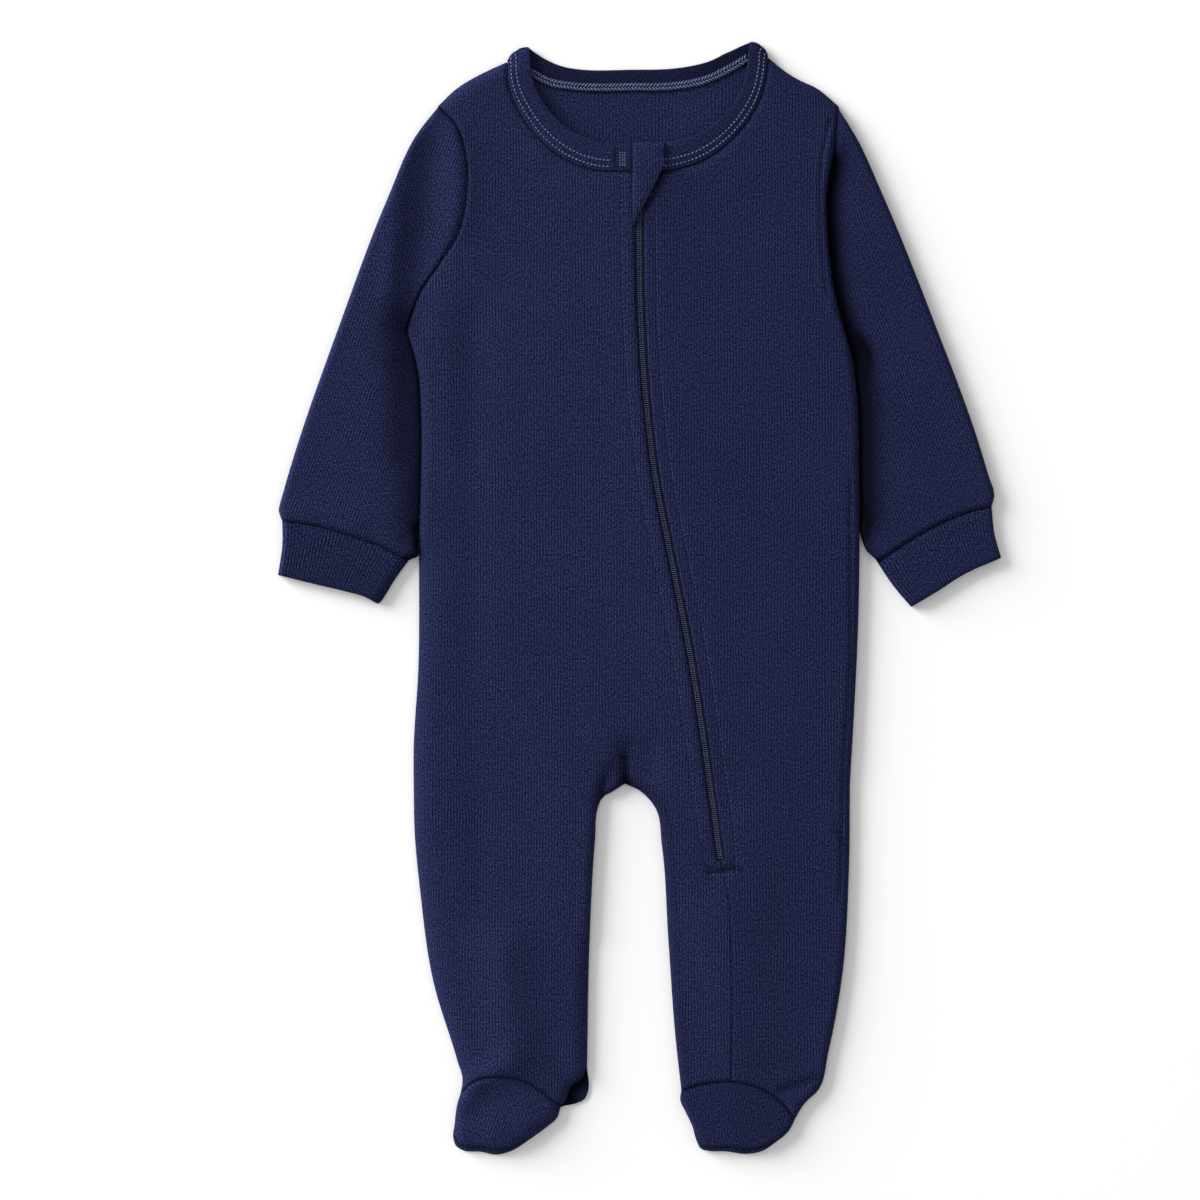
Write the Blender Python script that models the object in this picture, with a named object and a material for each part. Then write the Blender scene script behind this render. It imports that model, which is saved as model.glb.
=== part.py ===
"""Footed baby onesie pajama with a slanting front zip, laid out flat on its back.

X runs to the wearer's left, Y to the neck and Z up from the floor that the back panel lies on.
Every table is in millimetres, and its columns are x, y unless a comment names others. "Right" and
"left" are the wearer's, so right pieces are at -X. Outlines run with the cloth on their left.
"""
import bmesh
import bpy
import numpy as np

MM = 0.001
WALL = 1.4            # thickness of the knit
SEAM = 0.3            # gap between two pieces that are sewn together
CURVE_GAP = 0.55      # the same where straight facets follow a tight curve
ARM_GAP = 0.8         # the same at the armholes and cuffs, where the cloth is drawn in a little
SLEEVE_SLACK = 6.0    # widest space between the armhole and the next row of the sleeve's cloth
CORNER = 1.5          # how far a seam starts from a corner where three pieces meet
LOFT = 6.2            # height of the top cloth over the floor, away from folds and edges
CUFF_LOFT = 5.4       # the same on the cuffs
ROLL_STEPS = (0.0, 0.5, 2.0, 5.0, 12.0)   # distances from a folded edge that shape its roundness
ROLL = ROLL_STEPS[-1]
TUBE_FOOT = 1.2       # height where the top of a sleeve or cuff turns round into its underside
TUBE_HOLLOW = 0.4     # space inside a flattened sleeve or cuff along its folds
FOOT = WALL + SEAM    # height where the front cloth stands on the back panel's edge

SHOULDER_R = [(-71.5, 289.5), (-80.5, 285.5), (-99.5, 274.5), (-109.0, 265.5)]
SHOULDER_L = [(107.5, 265.5), (95.0, 275.5), (77.5, 286.5), (69.5, 291.0)]
ARMHOLE_R = [(-109.0, 265.5), (-99.0, 255.5), (-94.0, 240.0), (-93.0, 219.5), (-97.0, 198.5),
             (-107.0, 181.5), (-119.0, 163.5), (-125.5, 144.5)]
ARMHOLE_L = [(107.5, 265.5), (104.5, 241.5), (101.0, 220.5), (101.5, 192.5), (105.0, 165.5),
             (111.0, 142.5), (114.5, 131.0)]
SIDE_R = [(-125.5, 144.5), (-119.5, 122.5), (-118.0, 100.0), (-119.0, 31.5), (-119.5, -38.5),
          (-122.0, -82.0), (-122.0, -100.0)]
SIDE_L = [(114.5, 131.0), (117.0, 113.5), (118.5, 64.0), (118.0, -11.5), (115.5, -65.5),
          (113.5, -100.0)]
LEG_R = [(-122.0, -100.0), (-121.5, -125.0), (-118.5, -157.5), (-111.5, -206.0), (-98.5, -249.0),
         (-95.5, -260.0), (-96.5, -266.5)]
LEG_L = [(113.5, -100.0), (113.0, -145.0), (109.0, -206.0), (102.0, -244.0), (96.5, -265.0),
         (88.5, -273.0), (84.0, -280.5)]
GAP_R = [(-8.0, -100.0), (-15.5, -104.5), (-22.0, -112.0), (-24.0, -129.5), (-27.0, -184.5),
         (-29.0, -255.5)]
GAP_L = [(-8.0, -100.0), (-1.0, -103.0), (8.5, -113.0), (12.0, -133.5), (15.5, -184.5),
         (19.5, -238.5), (22.5, -265.5)]
TOE_SEAM_R = [(-96.5, -266.5), (-89.5, -260.5), (-75.0, -258.0), (-61.5, -260.5),
              (-51.0, -267.0), (-42.5, -274.0)]
HEEL_R = [(-42.5, -274.0), (-37.0, -263.0), (-31.0, -260.0), (-29.0, -255.5)]
TOE_SEAM_INNER_L = [(22.5, -265.5), (35.5, -261.5), (49.5, -260.5)]
TOE_SEAM_OUTER_L = [(49.5, -260.5), (63.5, -263.5), (76.0, -271.0), (84.0, -280.5)]
TOE_R = [(-96.5, -266.5), (-100.5, -288.0), (-96.0, -297.0), (-87.5, -298.7), (-76.0, -300.4),
         (-63.0, -296.0), (-44.5, -280.0), (-42.5, -274.0)]
TOE_L = [(22.5, -265.5), (22.5, -272.0), (27.5, -281.0), (31.5, -294.0), (37.0, -298.0),
         (57.0, -299.8), (66.5, -297.5), (81.0, -285.5), (84.0, -280.5)]
HEEL_BULGE_R = [(-42.5, -274.0), (-30.5, -270.5), (-28.0, -266.5), (-28.0, -255.5)]
NECK_R = [(-71.5, 289.5), (-69.5, 275.0), (-60.0, 256.0), (-42.0, 238.5), (-24.5, 231.5),
          (-3.4, 231.0)]
NECK_L = [(2.4, 231.0), (16.5, 231.5), (33.5, 236.5), (51.5, 250.0), (64.0, 268.5),
          (69.5, 291.0)]
NECK_BACK = [(-71.5, 289.5), (-50.0, 279.0), (-36.5, 276.0), (-3.5, 275.5), (18.5, 276.0),
             (34.5, 279.5), (49.5, 286.0), (69.5, 291.0)]
BAND_R = [(-60.0, 297.5), (-56.5, 276.0), (-42.0, 256.0), (-20.5, 245.5), (-3.4, 245.0)]
BAND_L = [(2.4, 245.0), (13.5, 245.5), (34.5, 252.0), (53.5, 271.5), (60.0, 300.4)]
BAND_BACK = [(-60.0, 297.5), (-45.5, 288.0), (-36.5, 286.0), (-3.5, 285.5), (18.5, 286.0),
             (43.0, 292.0), (53.5, 299.0), (60.0, 300.4)]
ZIP = [(-0.5, 244.0), (0.0, 202.0), (0.7, 155.0), (3.5, 110.0), (9.0, 64.0), (16.5, 26.0),
       (28.0, -33.0), (40.5, -116.0), (44.0, -140.5), (46.2, -152.5)]
LEG_SEAM = [(46.2, -152.5), (48.2, -162.0), (49.5, -184.5), (50.0, -222.0), (49.5, -260.5)]
SLEEVE_R = [(-109.5, 265.2), (-119.5, 252.0), (-136.5, 215.0), (-161.0, 150.5),
            (-190.5, 64.0), (-195.0, 48.0), (-193.5, 43.0)]
SLEEVE_L = [(108.0, 265.2), (115.5, 252.0), (132.5, 215.0), (158.5, 150.5), (182.5, 85.5),
            (192.0, 54.5), (190.5, 50.8)]
ELBOW_R = [(-119.6, 31.5), (-121.0, 23.0), (-125.0, 21.0)]
ELBOW_L = [(119.5, 36.0), (121.5, 28.0), (127.5, 20.6)]
CUFF_SEAM_R = [(-193.0, 42.0), (-175.0, 39.5), (-155.5, 34.0), (-141.0, 29.0), (-124.5, 20.5)]
CUFF_SEAM_L = [(190.0, 50.0), (175.0, 46.0), (156.0, 37.5), (138.0, 26.5), (128.0, 20.0)]
CUFF_HEM_R = [(-195.1, 13.0), (-175.0, 8.0), (-158.5, 3.5), (-139.5, -3.5)]
CUFF_HEM_L = [(195.1, 22.0), (174.0, 12.5), (160.0, 3.5), (146.5, -4.5)]
CUFF_OUTER_R = [(-193.0, 42.0), (-192.8, 30.0), (-195.1, 13.0)]
CUFF_OUTER_L = [(190.0, 50.0), (191.5, 35.0), (195.1, 22.0)]
CUFF_INNER_R = [(-124.5, 20.5), (-132.5, 9.5), (-139.5, -3.5)]
CUFF_INNER_L = [(128.0, 20.0), (137.5, 6.0), (146.5, -4.5)]

# Soft folds of the top cloth, each along a straight stretch: x, y, x, y, half width, rise
FOLDS = [
    (-118.0, 243.0, -126.0, 205.0, 7.0, -0.9),    # valley down the right sleeve
    (-126.0, 205.0, -127.5, 165.0, 7.0, -1.0),
    (-127.5, 165.0, -126.5, 40.0, 5.5, -0.9),
    (102.0, 250.0, 97.5, 215.0, 3.0, 0.6),        # rolled left armhole
    (97.5, 215.0, 99.0, 185.0, 3.0, 0.7),
    (99.0, 185.0, 104.0, 155.0, 3.0, 0.5),
    (-8.0, -80.0, -8.0, -98.0, 4.0, -1.3),        # dimple over the crotch
    (-17.0, -92.0, -21.0, -109.0, 3.0, -0.8),
    (-93.0, -258.0, -77.0, -243.0, 3.5, 0.6),     # creases at the ankles
    (76.0, -265.0, 95.0, -259.0, 3.5, -0.6),
    (-62.0, 110.0, -64.0, -40.0, 40.0, 0.4),      # broad fullness of the chest and legs
    (58.0, 130.0, 70.0, 20.0, 34.0, 0.4),
    (-72.0, -130.0, -64.0, -235.0, 17.0, 0.5),
    (66.0, -130.0, 60.0, -235.0, 15.0, 0.5),
]

ZIP_HALF = 2.5        # half width of the slot between the two front edges
SLOT_CLOSE = 8.5      # height over which the slot closes at its lower end
COIL_SHORT = 13.0     # how far the coil ends before the slot does
COIL_HALF = 2.2       # half width of the closed coil
COIL_Z = (4.6, 6.0)   # underside and top of the coil
TAPE_HALF = 8.0       # half width of the zip's cloth tapes, under the fronts
TAPE_Z = (3.1, 4.3)
SLIDER_Z = (6.5, 8.0)
SLIDER = [(-2.4, 199.5), (1.8, 199.5), (1.8, 220.0), (2.6, 222.0), (2.6, 231.0), (-3.4, 231.0),
          (-3.4, 222.0), (-2.4, 220.0)]
BAND_HALF = 0.8       # half thickness of the folded neckband
BAND_LOW = 4.0        # lowest middle height of the neckband's front
BAND_FOLD_CLEAR = 1.8  # how far the band's fold stays from the corner where the shoulder starts
# Guard over the slider, from its fold inside the neck to its tip: y, left x, right x, underside z
GUARD = [
    (245.5, -4.6, 12.8, 3.8), (245.5, -4.8, 13.3, 6.3), (244.8, -5.0, 13.5, 7.9),
    (242.0, -5.0, 13.7, 8.5), (234.0, -5.0, 13.8, 8.6), (226.0, -4.9, 11.2, 8.6),
    (217.0, -4.8, 6.6, 8.5), (208.0, -4.2, 2.8, 8.6), (198.0, -3.4, -0.8, 8.6),
]
# Sag of the guard across its width: share of the width, rise
GUARD_SAG = [(0.0, -1.3), (0.12, -0.3), (0.35, 0.0), (0.7, 0.0), (1.0, -0.4)]
NECK_TAPE = [(-60.0, 284.5), (-47.0, 278.2), (-36.5, 276.5), (-3.5, 276.0), (18.5, 276.5),
             (35.5, 279.8), (50.4, 287.0), (58.0, 291.5)]
NECK_TAPE_HALF = 1.9
NECK_TAPE_Z = (1.9, 2.9)
RIBS = 32             # ribs across the top of a cuff
RIB_RISE = 0.4        # how far a rib stands over the groove beside it
SOLE_LIP = 3.0        # widest part of the sole's edge that turns up round the toes


# ---------------------------------------------------------------------------- curves in plan

def runs(path):
    """Distance of each point of a path from its start."""
    return np.r_[0, np.cumsum(np.linalg.norm(np.diff(path, axis=0), axis=1))]


def curve(points, distances=None, count=None):
    """Points on a smooth curve through a table, at given distances along it or evenly spaced."""
    points = np.array(points, float)
    chord = runs(points)
    slope = np.gradient(points, chord, axis=0)
    fine = np.linspace(0, chord[-1], 30 * len(points))
    k = np.clip(np.searchsorted(chord, fine, side="right") - 1, 0, len(points) - 2)
    step = (chord[k + 1] - chord[k])[:, None]
    t = (fine - chord[k])[:, None] / step
    path = ((2 * t**3 - 3 * t**2 + 1) * points[k] + (t**3 - 2 * t**2 + t) * step * slope[k]
            + (3 * t**2 - 2 * t**3) * points[k + 1] + (t**3 - t**2) * step * slope[k + 1])
    run = runs(path)
    if distances is None:
        distances = np.linspace(0, run[-1], count)
    return np.stack([np.interp(distances, run, path[:, axis]) for axis in (0, 1)], axis=1)


def length(points):
    """Length of the smooth curve through a table."""
    return runs(curve(points, count=200))[-1]


def join(*curves):
    """Curves end to end, with the shared points once."""
    return np.concatenate([curves[0]] + [following[1:] for following in curves[1:]])


def aside(path, gap):
    """The path moved sideways to its left by a gap."""
    run = np.gradient(path, axis=0)
    run /= np.linalg.norm(run, axis=1, keepdims=True)
    return path + gap * np.stack([-run[:, 1], run[:, 0]], axis=1)


def steps(total, count, start, end):
    """Distances that cut a length into steps: even, or finer at an end that rolls over (1)."""
    fine = np.array(ROLL_STEPS)
    even = np.linspace(0, total, count + 1)
    first = np.r_[fine, np.linspace(ROLL, total, count + 2 - len(fine))[1:]]
    last = total - first[::-1]
    both = even
    if count > 2 * len(fine) - 2:
        middle = np.linspace(ROLL, total - ROLL, count + 3 - 2 * len(fine))[1:-1]
        both = np.r_[fine, middle, total - fine[::-1]]
    return ((1 - start) * (1 - end) * even + start * (1 - end) * first
            + (1 - start) * end * last + start * end * both)


def spread(left, right, count, start, end):
    """Rows of plan points between two side curves, finer at the sides that roll over."""
    width = np.linalg.norm(right - left, axis=1)
    cuts = [steps(w, count, s, e) / w for w, s, e in zip(width, start, end)]
    share = np.array(cuts)[:, :, None]
    return left[:, None] * (1 - share) + right[:, None] * share


def bend(grid, path, reach, row, corner=None):
    """Bend a grid near its first or last row so that this row follows a path, and a corner."""
    run, share = runs(path), runs(grid[row]) / runs(grid[row])[-1]
    if corner is not None:
        turn = run[np.linalg.norm(path - np.array(corner), axis=1).argmin()] / run[-1]
        share[np.abs(share - turn).argmin()] = turn
    edge = np.stack([np.interp(share * run[-1], run, path[:, axis]) for axis in (0, 1)], axis=1)
    away = np.abs(runs(grid[:, 0]) - runs(grid[:, 0])[row])
    t = np.clip(1 - away / reach, 0, 1)
    weight = (t * t * (3 - 2 * t))[:, None, None]
    return grid + weight * (edge - grid[row])


# ------------------------------------------------------------------- height of the top cloth

def segments(*curves):
    """Start points and steps of every straight stretch of some curves."""
    starts = np.concatenate([path[:-1] for path in curves])
    ends = np.concatenate([path[1:] for path in curves])
    return starts, ends - starts


def nearest(points, starts, runs):
    """Distance from each plan point to the nearest stretch, and the way in from that stretch."""
    offset = points[:, None] - starts[None]
    along = np.clip((offset * runs).sum(-1) / (runs * runs).sum(-1), 0, 1)
    gap = offset - along[..., None] * runs
    away = np.linalg.norm(gap, axis=-1)
    pick = away.argmin(axis=1)
    row = np.arange(len(points))
    run = runs[pick] / np.linalg.norm(runs[pick], axis=1, keepdims=True)
    return away[row, pick], np.stack([-run[:, 1], run[:, 0]], axis=1)


def folds(points):
    """Rise of the soft folds at plan points."""
    rise = np.zeros(len(points))
    for x0, y0, x1, y1, half, top in FOLDS:
        away, _ = nearest(points, np.array([(x0, y0)]), np.array([(x1 - x0, y1 - y0)]))
        rise += top * np.exp(-(away / half) ** 2)
    return rise


def roundness(share):
    """Quarter-round rise from 0 at a folded edge to 1."""
    share = np.clip(share, 0, 1)
    return np.sqrt(1 - (1 - share) ** 2)


def height(plan, edges, foot=FOOT, loft=LOFT, wall=0.0):
    """Height of the top cloth, or of its inner face a wall below, over its folded edge's foot."""
    away, _ = nearest(plan, *edges)
    return foot + (loft + folds(plan) - wall - foot) * roundness(away / ROLL)


def faces(grid, edges, foot=FOOT, inner_foot=FOOT, loft=LOFT):
    """Outer and inner points of the top cloth over a plan grid, rounded down at its edges."""
    plan = grid.reshape(-1, 2)
    away, inward = nearest(plan, *edges)
    drawn_in = plan + inward * (WALL * np.clip(1 - away / ROLL, 0, 1))[:, None]
    outer = np.c_[plan, height(plan, edges, foot, loft)]
    inner = np.c_[drawn_in, height(plan, edges, inner_foot, loft, WALL)]
    return outer.reshape(*grid.shape[:2], 3), inner.reshape(*grid.shape[:2], 3)


def body_edges():
    """Folded edges of the fronts, legs and feet, and of the sleeves beside the armholes."""
    return segments(
        join(curve(SIDE_R, count=24), curve(LEG_R, count=24), curve(TOE_R, count=32),
             curve(HEEL_R, count=10), curve(GAP_R, count=24)[::-1]),
        join(curve(GAP_L, count=24), curve(TOE_L, count=32), curve(LEG_L, count=24)[::-1],
             curve(SIDE_L, count=24)[::-1]),
        curve(SHOULDER_R, count=8), curve(SHOULDER_L, count=8),
        curve(SLEEVE_R, count=24), curve(SLEEVE_L, count=24)[::-1])


# ---------------------------------------------------------------------------- solids

def material(name, colour, roughness, metallic=0.0):
    """A plain surface."""
    surface = bpy.data.materials.new(name)
    surface.use_nodes = True
    shader = surface.node_tree.nodes["Principled BSDF"]
    shader.inputs["Base Color"].default_value = (*colour, 1.0)
    shader.inputs["Roughness"].default_value = roughness
    shader.inputs["Metallic"].default_value = metallic
    return surface


def finish(name, points, quads, surface):
    """An object from points in millimetres and faces, with its faces pointing out."""
    mesh = bpy.data.meshes.new(name)
    mesh.from_pydata((np.array(points) * MM).tolist(), [], quads)
    solid = bmesh.new()
    solid.from_mesh(mesh)
    bmesh.ops.recalc_face_normals(solid, faces=solid.faces)
    solid.to_mesh(mesh)
    solid.free()
    mesh.materials.append(surface)
    mesh.shade_smooth()
    mesh.set_sharp_from_angle(angle=0.9)
    piece = bpy.data.objects.new(name, mesh)
    bpy.context.scene.collection.objects.link(piece)
    return piece


def cloth(name, patches, surface):
    """A closed wall between the outer and inner faces of grids that share their edge points."""
    index, outer, inner, quads = {}, [], [], []
    for outside, inside in patches:
        rows, columns = outside.shape[:2]
        number = np.zeros((rows, columns), int)
        for i, j in np.ndindex(rows, columns):
            key = tuple(np.round(outside[i, j], 3))
            if key not in index:
                index[key] = len(outer)
                outer.append(outside[i, j])
                inner.append(inside[i, j])
            number[i, j] = index[key]
        for i, j in np.ndindex(rows - 1, columns - 1):
            quads.append((number[i, j], number[i, j + 1], number[i + 1, j + 1],
                          number[i + 1, j]))
    below = len(outer)
    directed = {(quad[k], quad[(k + 1) % 4]) for quad in quads for k in range(4)}
    rim = [(a, b) for a, b in directed if (b, a) not in directed]
    sides = [(b, a, a + below, b + below) for a, b in sorted(rim)]
    inside = [tuple(number + below for number in reversed(quad)) for quad in quads]
    return finish(name, outer + inner, [tuple(map(int, q)) for q in quads + inside + sides],
                  surface)


def bar(name, rings, surface):
    """A closed solid through rings whose second half runs back over their first half."""
    count, around = rings.shape[:2]
    quads = []
    for i, j in np.ndindex(count - 1, around):
        k = (j + 1) % around
        quads.append((i * around + j, i * around + k, (i + 1) * around + k,
                      (i + 1) * around + j))
    last = (count - 1) * around
    for k in range(around // 2 - 1):
        end = (k, k + 1, around - 2 - k, around - 1 - k)
        quads += [end[::-1], tuple(last + number for number in end)]
    return finish(name, rings.reshape(-1, 3), quads, surface)


def plate(name, outline, low, high, surface):
    """A flat plate with the given outline between two heights."""
    count = len(outline)
    points = [(x, y, z) for z in (low, high) for x, y in outline]
    quads = [(i, (i + 1) % count, (i + 1) % count + count, i + count) for i in range(count)]
    quads += [tuple(range(count))[::-1], tuple(range(count, 2 * count))]
    return finish(name, points, quads, surface)


def strip(path, half, low, high):
    """Rectangular rings of a flat strip along a plan path."""
    left, right = aside(path, half), aside(path, -half)
    corners = [(left, low), (right, low), (right, high), (left, high)]
    return np.stack([np.c_[side, np.full(len(side), z)] for side, z in corners], axis=1)


# ---------------------------------------------------------------------------- the pieces

TORSO_ROWS, NECK_ROWS, LEG_ROWS = 30, 9, 15
SHARE_ROLLED = 0.16   # share of the torso over the crotch where the columns start to gather


def rows_of(points, count, start, end):
    """A side curve cut into rows, finer at an end where the cloth rolls over."""
    return curve(points, steps(length(points), count, start, end))


def gather(count, begin):
    """Weights from 0 to 1 that start to grow at a share of the rows."""
    return np.clip((np.linspace(0, 1, count + 1) - begin) / (1 - begin), 0, 1) ** 2


def zip_edge(side):
    """The edge of a front along the zip and down the leg seam, on side -1 or 1."""
    slot = curve(ZIP, count=60)
    slot = slot[slot[:, 1] < 231.0]
    half = ZIP_HALF * np.clip((slot[:, 1] - ZIP[-1][1]) / SLOT_CLOSE, 0, 1)
    half = np.maximum(half, SEAM / 2)
    seam = curve(LEG_SEAM, count=24)
    edge = np.r_[aside(slot, 1.0) - slot, aside(seam, 1.0)[1:] - seam[1:]]
    path = np.r_[slot, seam[1:]]
    width = np.r_[half, np.full(len(seam) - 1, SEAM / 2)]
    return path + side * width[:, None] * edge


def split_at(path, height):
    """A path that runs down, cut in two at a height."""
    x = np.interp(-height, -path[:, 1], path[:, 0])
    above, below = path[path[:, 1] > height], path[path[:, 1] < height]
    return np.r_[above, [(x, height)]], np.r_[[(x, height)], below]


CROTCH = GAP_R[0]


def front_right(edges, surface):
    """Wearer's right front, with the right leg and the inner front of the left leg."""
    neck = curve(NECK_R, count=61)
    below_neck = TORSO_ROWS - NECK_ROWS
    side = join(curve(ARMHOLE_R, count=16), curve(SIDE_R, count=24))
    above, below = split_at(zip_edge(-1), CROTCH[1])
    rolled = gather(TORSO_ROWS, 1 - SHARE_ROLLED)
    full, none = np.ones(LEG_ROWS + 1), np.zeros(LEG_ROWS + 1)
    arm_share = length(ARMHOLE_R) / length(side)
    arm = np.clip((np.linspace(0, 1, TORSO_ROWS + 1) - arm_share + 0.1) / 0.1, 0, 1)

    centre = rows_of(np.linspace(neck[30], CROTCH, 12), below_neck, 0, 1)
    beside_neck = join(rows_of(neck[:31], NECK_ROWS, 1, 0), centre)
    outer = spread(rows_of(side, TORSO_ROWS, 1, 1), beside_neck, 12, arm, rolled)
    outer = bend(outer, curve(SHOULDER_R[::-1], count=20), 40.0, 0)
    inner = spread(centre, rows_of(above, below_neck, 0, 1), 7, rolled[NECK_ROWS:], 0 * centre[:, 0])
    inner = bend(inner, neck[30:], 130.0, 0)
    leg = spread(rows_of(LEG_R, LEG_ROWS, 1, 0), rows_of(GAP_R, LEG_ROWS, 1, 0), 12, full, full)
    leg = bend(leg, join(curve(TOE_SEAM_R, count=40), curve(HEEL_R, count=20)), 45.0, -1,
               HEEL_R[0])
    calf = spread(rows_of(GAP_L, LEG_ROWS, 1, 0), rows_of(below, LEG_ROWS, 1, 0), 7, full, none)
    calf = bend(calf, curve(TOE_SEAM_INNER_L, count=20), 45.0, -1)
    grids = [outer, inner, leg, calf]
    return cloth("front_right", [faces(grid, edges) for grid in grids], surface)


def front_left(edges, surface):
    """Wearer's left front, with the outer front of the left leg."""
    above, below = split_at(zip_edge(1), CROTCH[1])
    side = join(curve(ARMHOLE_L, count=16), curve(SIDE_L, count=24))
    arm_share = length(ARMHOLE_L) / length(side)
    arm = np.clip((np.linspace(0, 1, TORSO_ROWS + 1) - arm_share + 0.1) / 0.1, 0, 1)
    full, none = np.ones(LEG_ROWS + 1), np.zeros(LEG_ROWS + 1)
    torso = spread(rows_of(above, TORSO_ROWS, 1, 1), rows_of(side, TORSO_ROWS, 1, 1), 12,
                   0 * arm, arm)
    torso = bend(torso, join(curve(NECK_L, count=30), curve(SHOULDER_L[::-1], count=9)), 130.0, 0,
                 NECK_L[-1])
    leg = spread(rows_of(below, LEG_ROWS, 1, 0), rows_of(LEG_L, LEG_ROWS, 1, 0), 12, none, full)
    leg = bend(leg, curve(TOE_SEAM_OUTER_L, count=40), 45.0, -1)
    return cloth("front_left", [faces(grid, edges) for grid in (torso, leg)], surface)


def back(surface):
    """The back panel with the backs of both legs, flat on the floor."""
    right = join(curve(SHOULDER_R, count=6), curve(ARMHOLE_R, count=24), curve(SIDE_R, count=16),
                 curve(LEG_R, count=14))
    gap = join(curve(GAP_R, count=20)[::-1], curve(GAP_L, count=20))
    left = join(curve(LEG_L, count=14)[::-1], curve(SIDE_L, count=16)[::-1],
                curve(ARMHOLE_L, count=24)[::-1], curve(SHOULDER_L, count=6))
    outline = np.r_[right, gap, left, curve(NECK_BACK, count=20)[::-1][1:-1]]
    return plate("back", outline, 0.0, WALL, surface)


def sleeve_inside(side, elbow, way):
    """A sleeve's inner edge: along the body's side with a gap, then round to the cuff."""
    beside = aside(curve(side, count=40), -way * SEAM * 2)
    return np.r_[beside[beside[:, 1] > elbow[0][1] + 6.0], elbow]


ARMS = {
    "right": dict(outer=SLEEVE_R, inner=sleeve_inside(SIDE_R, ELBOW_R, 1), hole=ARMHOLE_R,
                  side=SIDE_R, seam=CUFF_SEAM_R, hem=CUFF_HEM_R,
                  cuff=(CUFF_OUTER_R, CUFF_INNER_R), way=1),
    "left": dict(outer=SLEEVE_L, inner=sleeve_inside(SIDE_L, ELBOW_L, -1), hole=ARMHOLE_L,
                 side=SIDE_L, seam=CUFF_SEAM_L, hem=CUFF_HEM_L,
                 cuff=(CUFF_OUTER_L, CUFF_INNER_L), way=-1),
}


def arm_edges(arm):
    """Folded edges of a sleeve and its cuff, and the shoulder's above them."""
    outer = np.r_[curve(arm["outer"], count=24), curve(arm["cuff"][0], count=6)]
    inner = np.r_[curve(arm["inner"], count=24), curve(arm["cuff"][1], count=6)]
    shoulder = curve(SHOULDER_R if arm["way"] > 0 else SHOULDER_L, count=8)
    return segments(outer[::arm["way"]], inner[::-arm["way"]], shoulder)


def tube(name, grid, edges, loft, surface, relief=0.0):
    """A flattened tube, open at both ends, with a flat underside and any relief on top."""
    top, lining = faces(grid, edges, foot=TUBE_FOOT, inner_foot=WALL + TUBE_HOLLOW, loft=loft)
    for row in (0, -1):
        run = np.gradient(grid[row], axis=0)
        run /= np.linalg.norm(run, axis=1, keepdims=True)
        drawn_in = ((lining[row] - top[row])[:, :2] * run).sum(axis=1, keepdims=True)
        lining[row, :, :2] = grid[row] + drawn_in * run
    top[..., 2] += relief
    under, floor = top.copy(), lining.copy()
    under[..., 2], floor[..., 2] = 0.0, WALL
    outside = np.concatenate([top, under[:, ::-1], top[:, :1]], axis=1)
    inside = np.concatenate([lining, floor[:, ::-1], lining[:, :1]], axis=1)
    return cloth(name, [(outside, inside)], surface)


def keep_off_body(grid, arm):
    """Push the rows below the armhole off the body, further the further from the inner fold."""
    outline = join(curve(arm["hole"], count=40), curve(arm["side"], count=40))
    limit = np.interp(-grid[1:, :, 1], -outline[:, 1], outline[:, 0])
    slack = np.minimum(np.linalg.norm(grid[1:] - grid[1:, -1:], axis=-1) / 4, SLEEVE_SLACK)
    beyond = -arm["way"] * limit + SEAM * 2 + slack
    grid[1:, :, 0] = -arm["way"] * np.maximum(-arm["way"] * grid[1:, :, 0], beyond)
    return grid


def sleeve(side, surface):
    """A sleeve from its armhole to the cuff's seam."""
    arm = ARMS[side]
    rows, columns = 13, 17
    rolled = np.ones(rows + 1)
    grid = spread(rows_of(arm["outer"], rows, 0, 1), rows_of(arm["inner"], rows, 0, 1),
                  columns, rolled, rolled)
    hole = curve(arm["hole"], np.linspace(CORNER, length(arm["hole"]), 50))
    grid = bend(grid, aside(hole, -arm["way"] * ARM_GAP), 30.0, 0)
    grid = bend(keep_off_body(grid, arm), curve(arm["seam"], count=30), 20.0, -1)
    return tube("sleeve_" + side, grid, arm_edges(arm), LOFT, surface)


def cuff(side, surface):
    """A ribbed cuff from its seam to its hem, its ribs raised on top."""
    arm = ARMS[side]
    rows, columns = 2, 2 * RIBS
    outer, inner = (curve(edge, count=rows + 1) for edge in arm["cuff"])
    even = np.zeros(rows + 1)
    grid = spread(outer, inner, columns, even, even)
    seam = curve(arm["seam"], np.linspace(0, length(arm["seam"]) - CORNER, 30))
    seam = aside(seam, -arm["way"] * ARM_GAP)
    grid = bend(grid, seam, 20.0, 0)
    grid = bend(grid, curve(arm["hem"], count=30), 20.0, -1)
    ribs = np.where(np.arange(columns + 1) % 2, RIB_RISE / 2, -RIB_RISE / 2)
    ribs[[0, -1]] = 0.0
    return tube("cuff_" + side, grid, arm_edges(arm), CUFF_LOFT, surface, ribs)


# Where the sole's turned-up edge starts and ends: shares of the toe's outline
FEET = {
    "right": dict(toe=TOE_R, seam=TOE_SEAM_R, lip=(0.24, 0.72), heel=HEEL_BULGE_R[::-1]),
    "left": dict(toe=TOE_L, seam=TOE_SEAM_INNER_L[:-1] + TOE_SEAM_OUTER_L, lip=(0.3, 0.86),
                 heel=[]),
}


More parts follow.
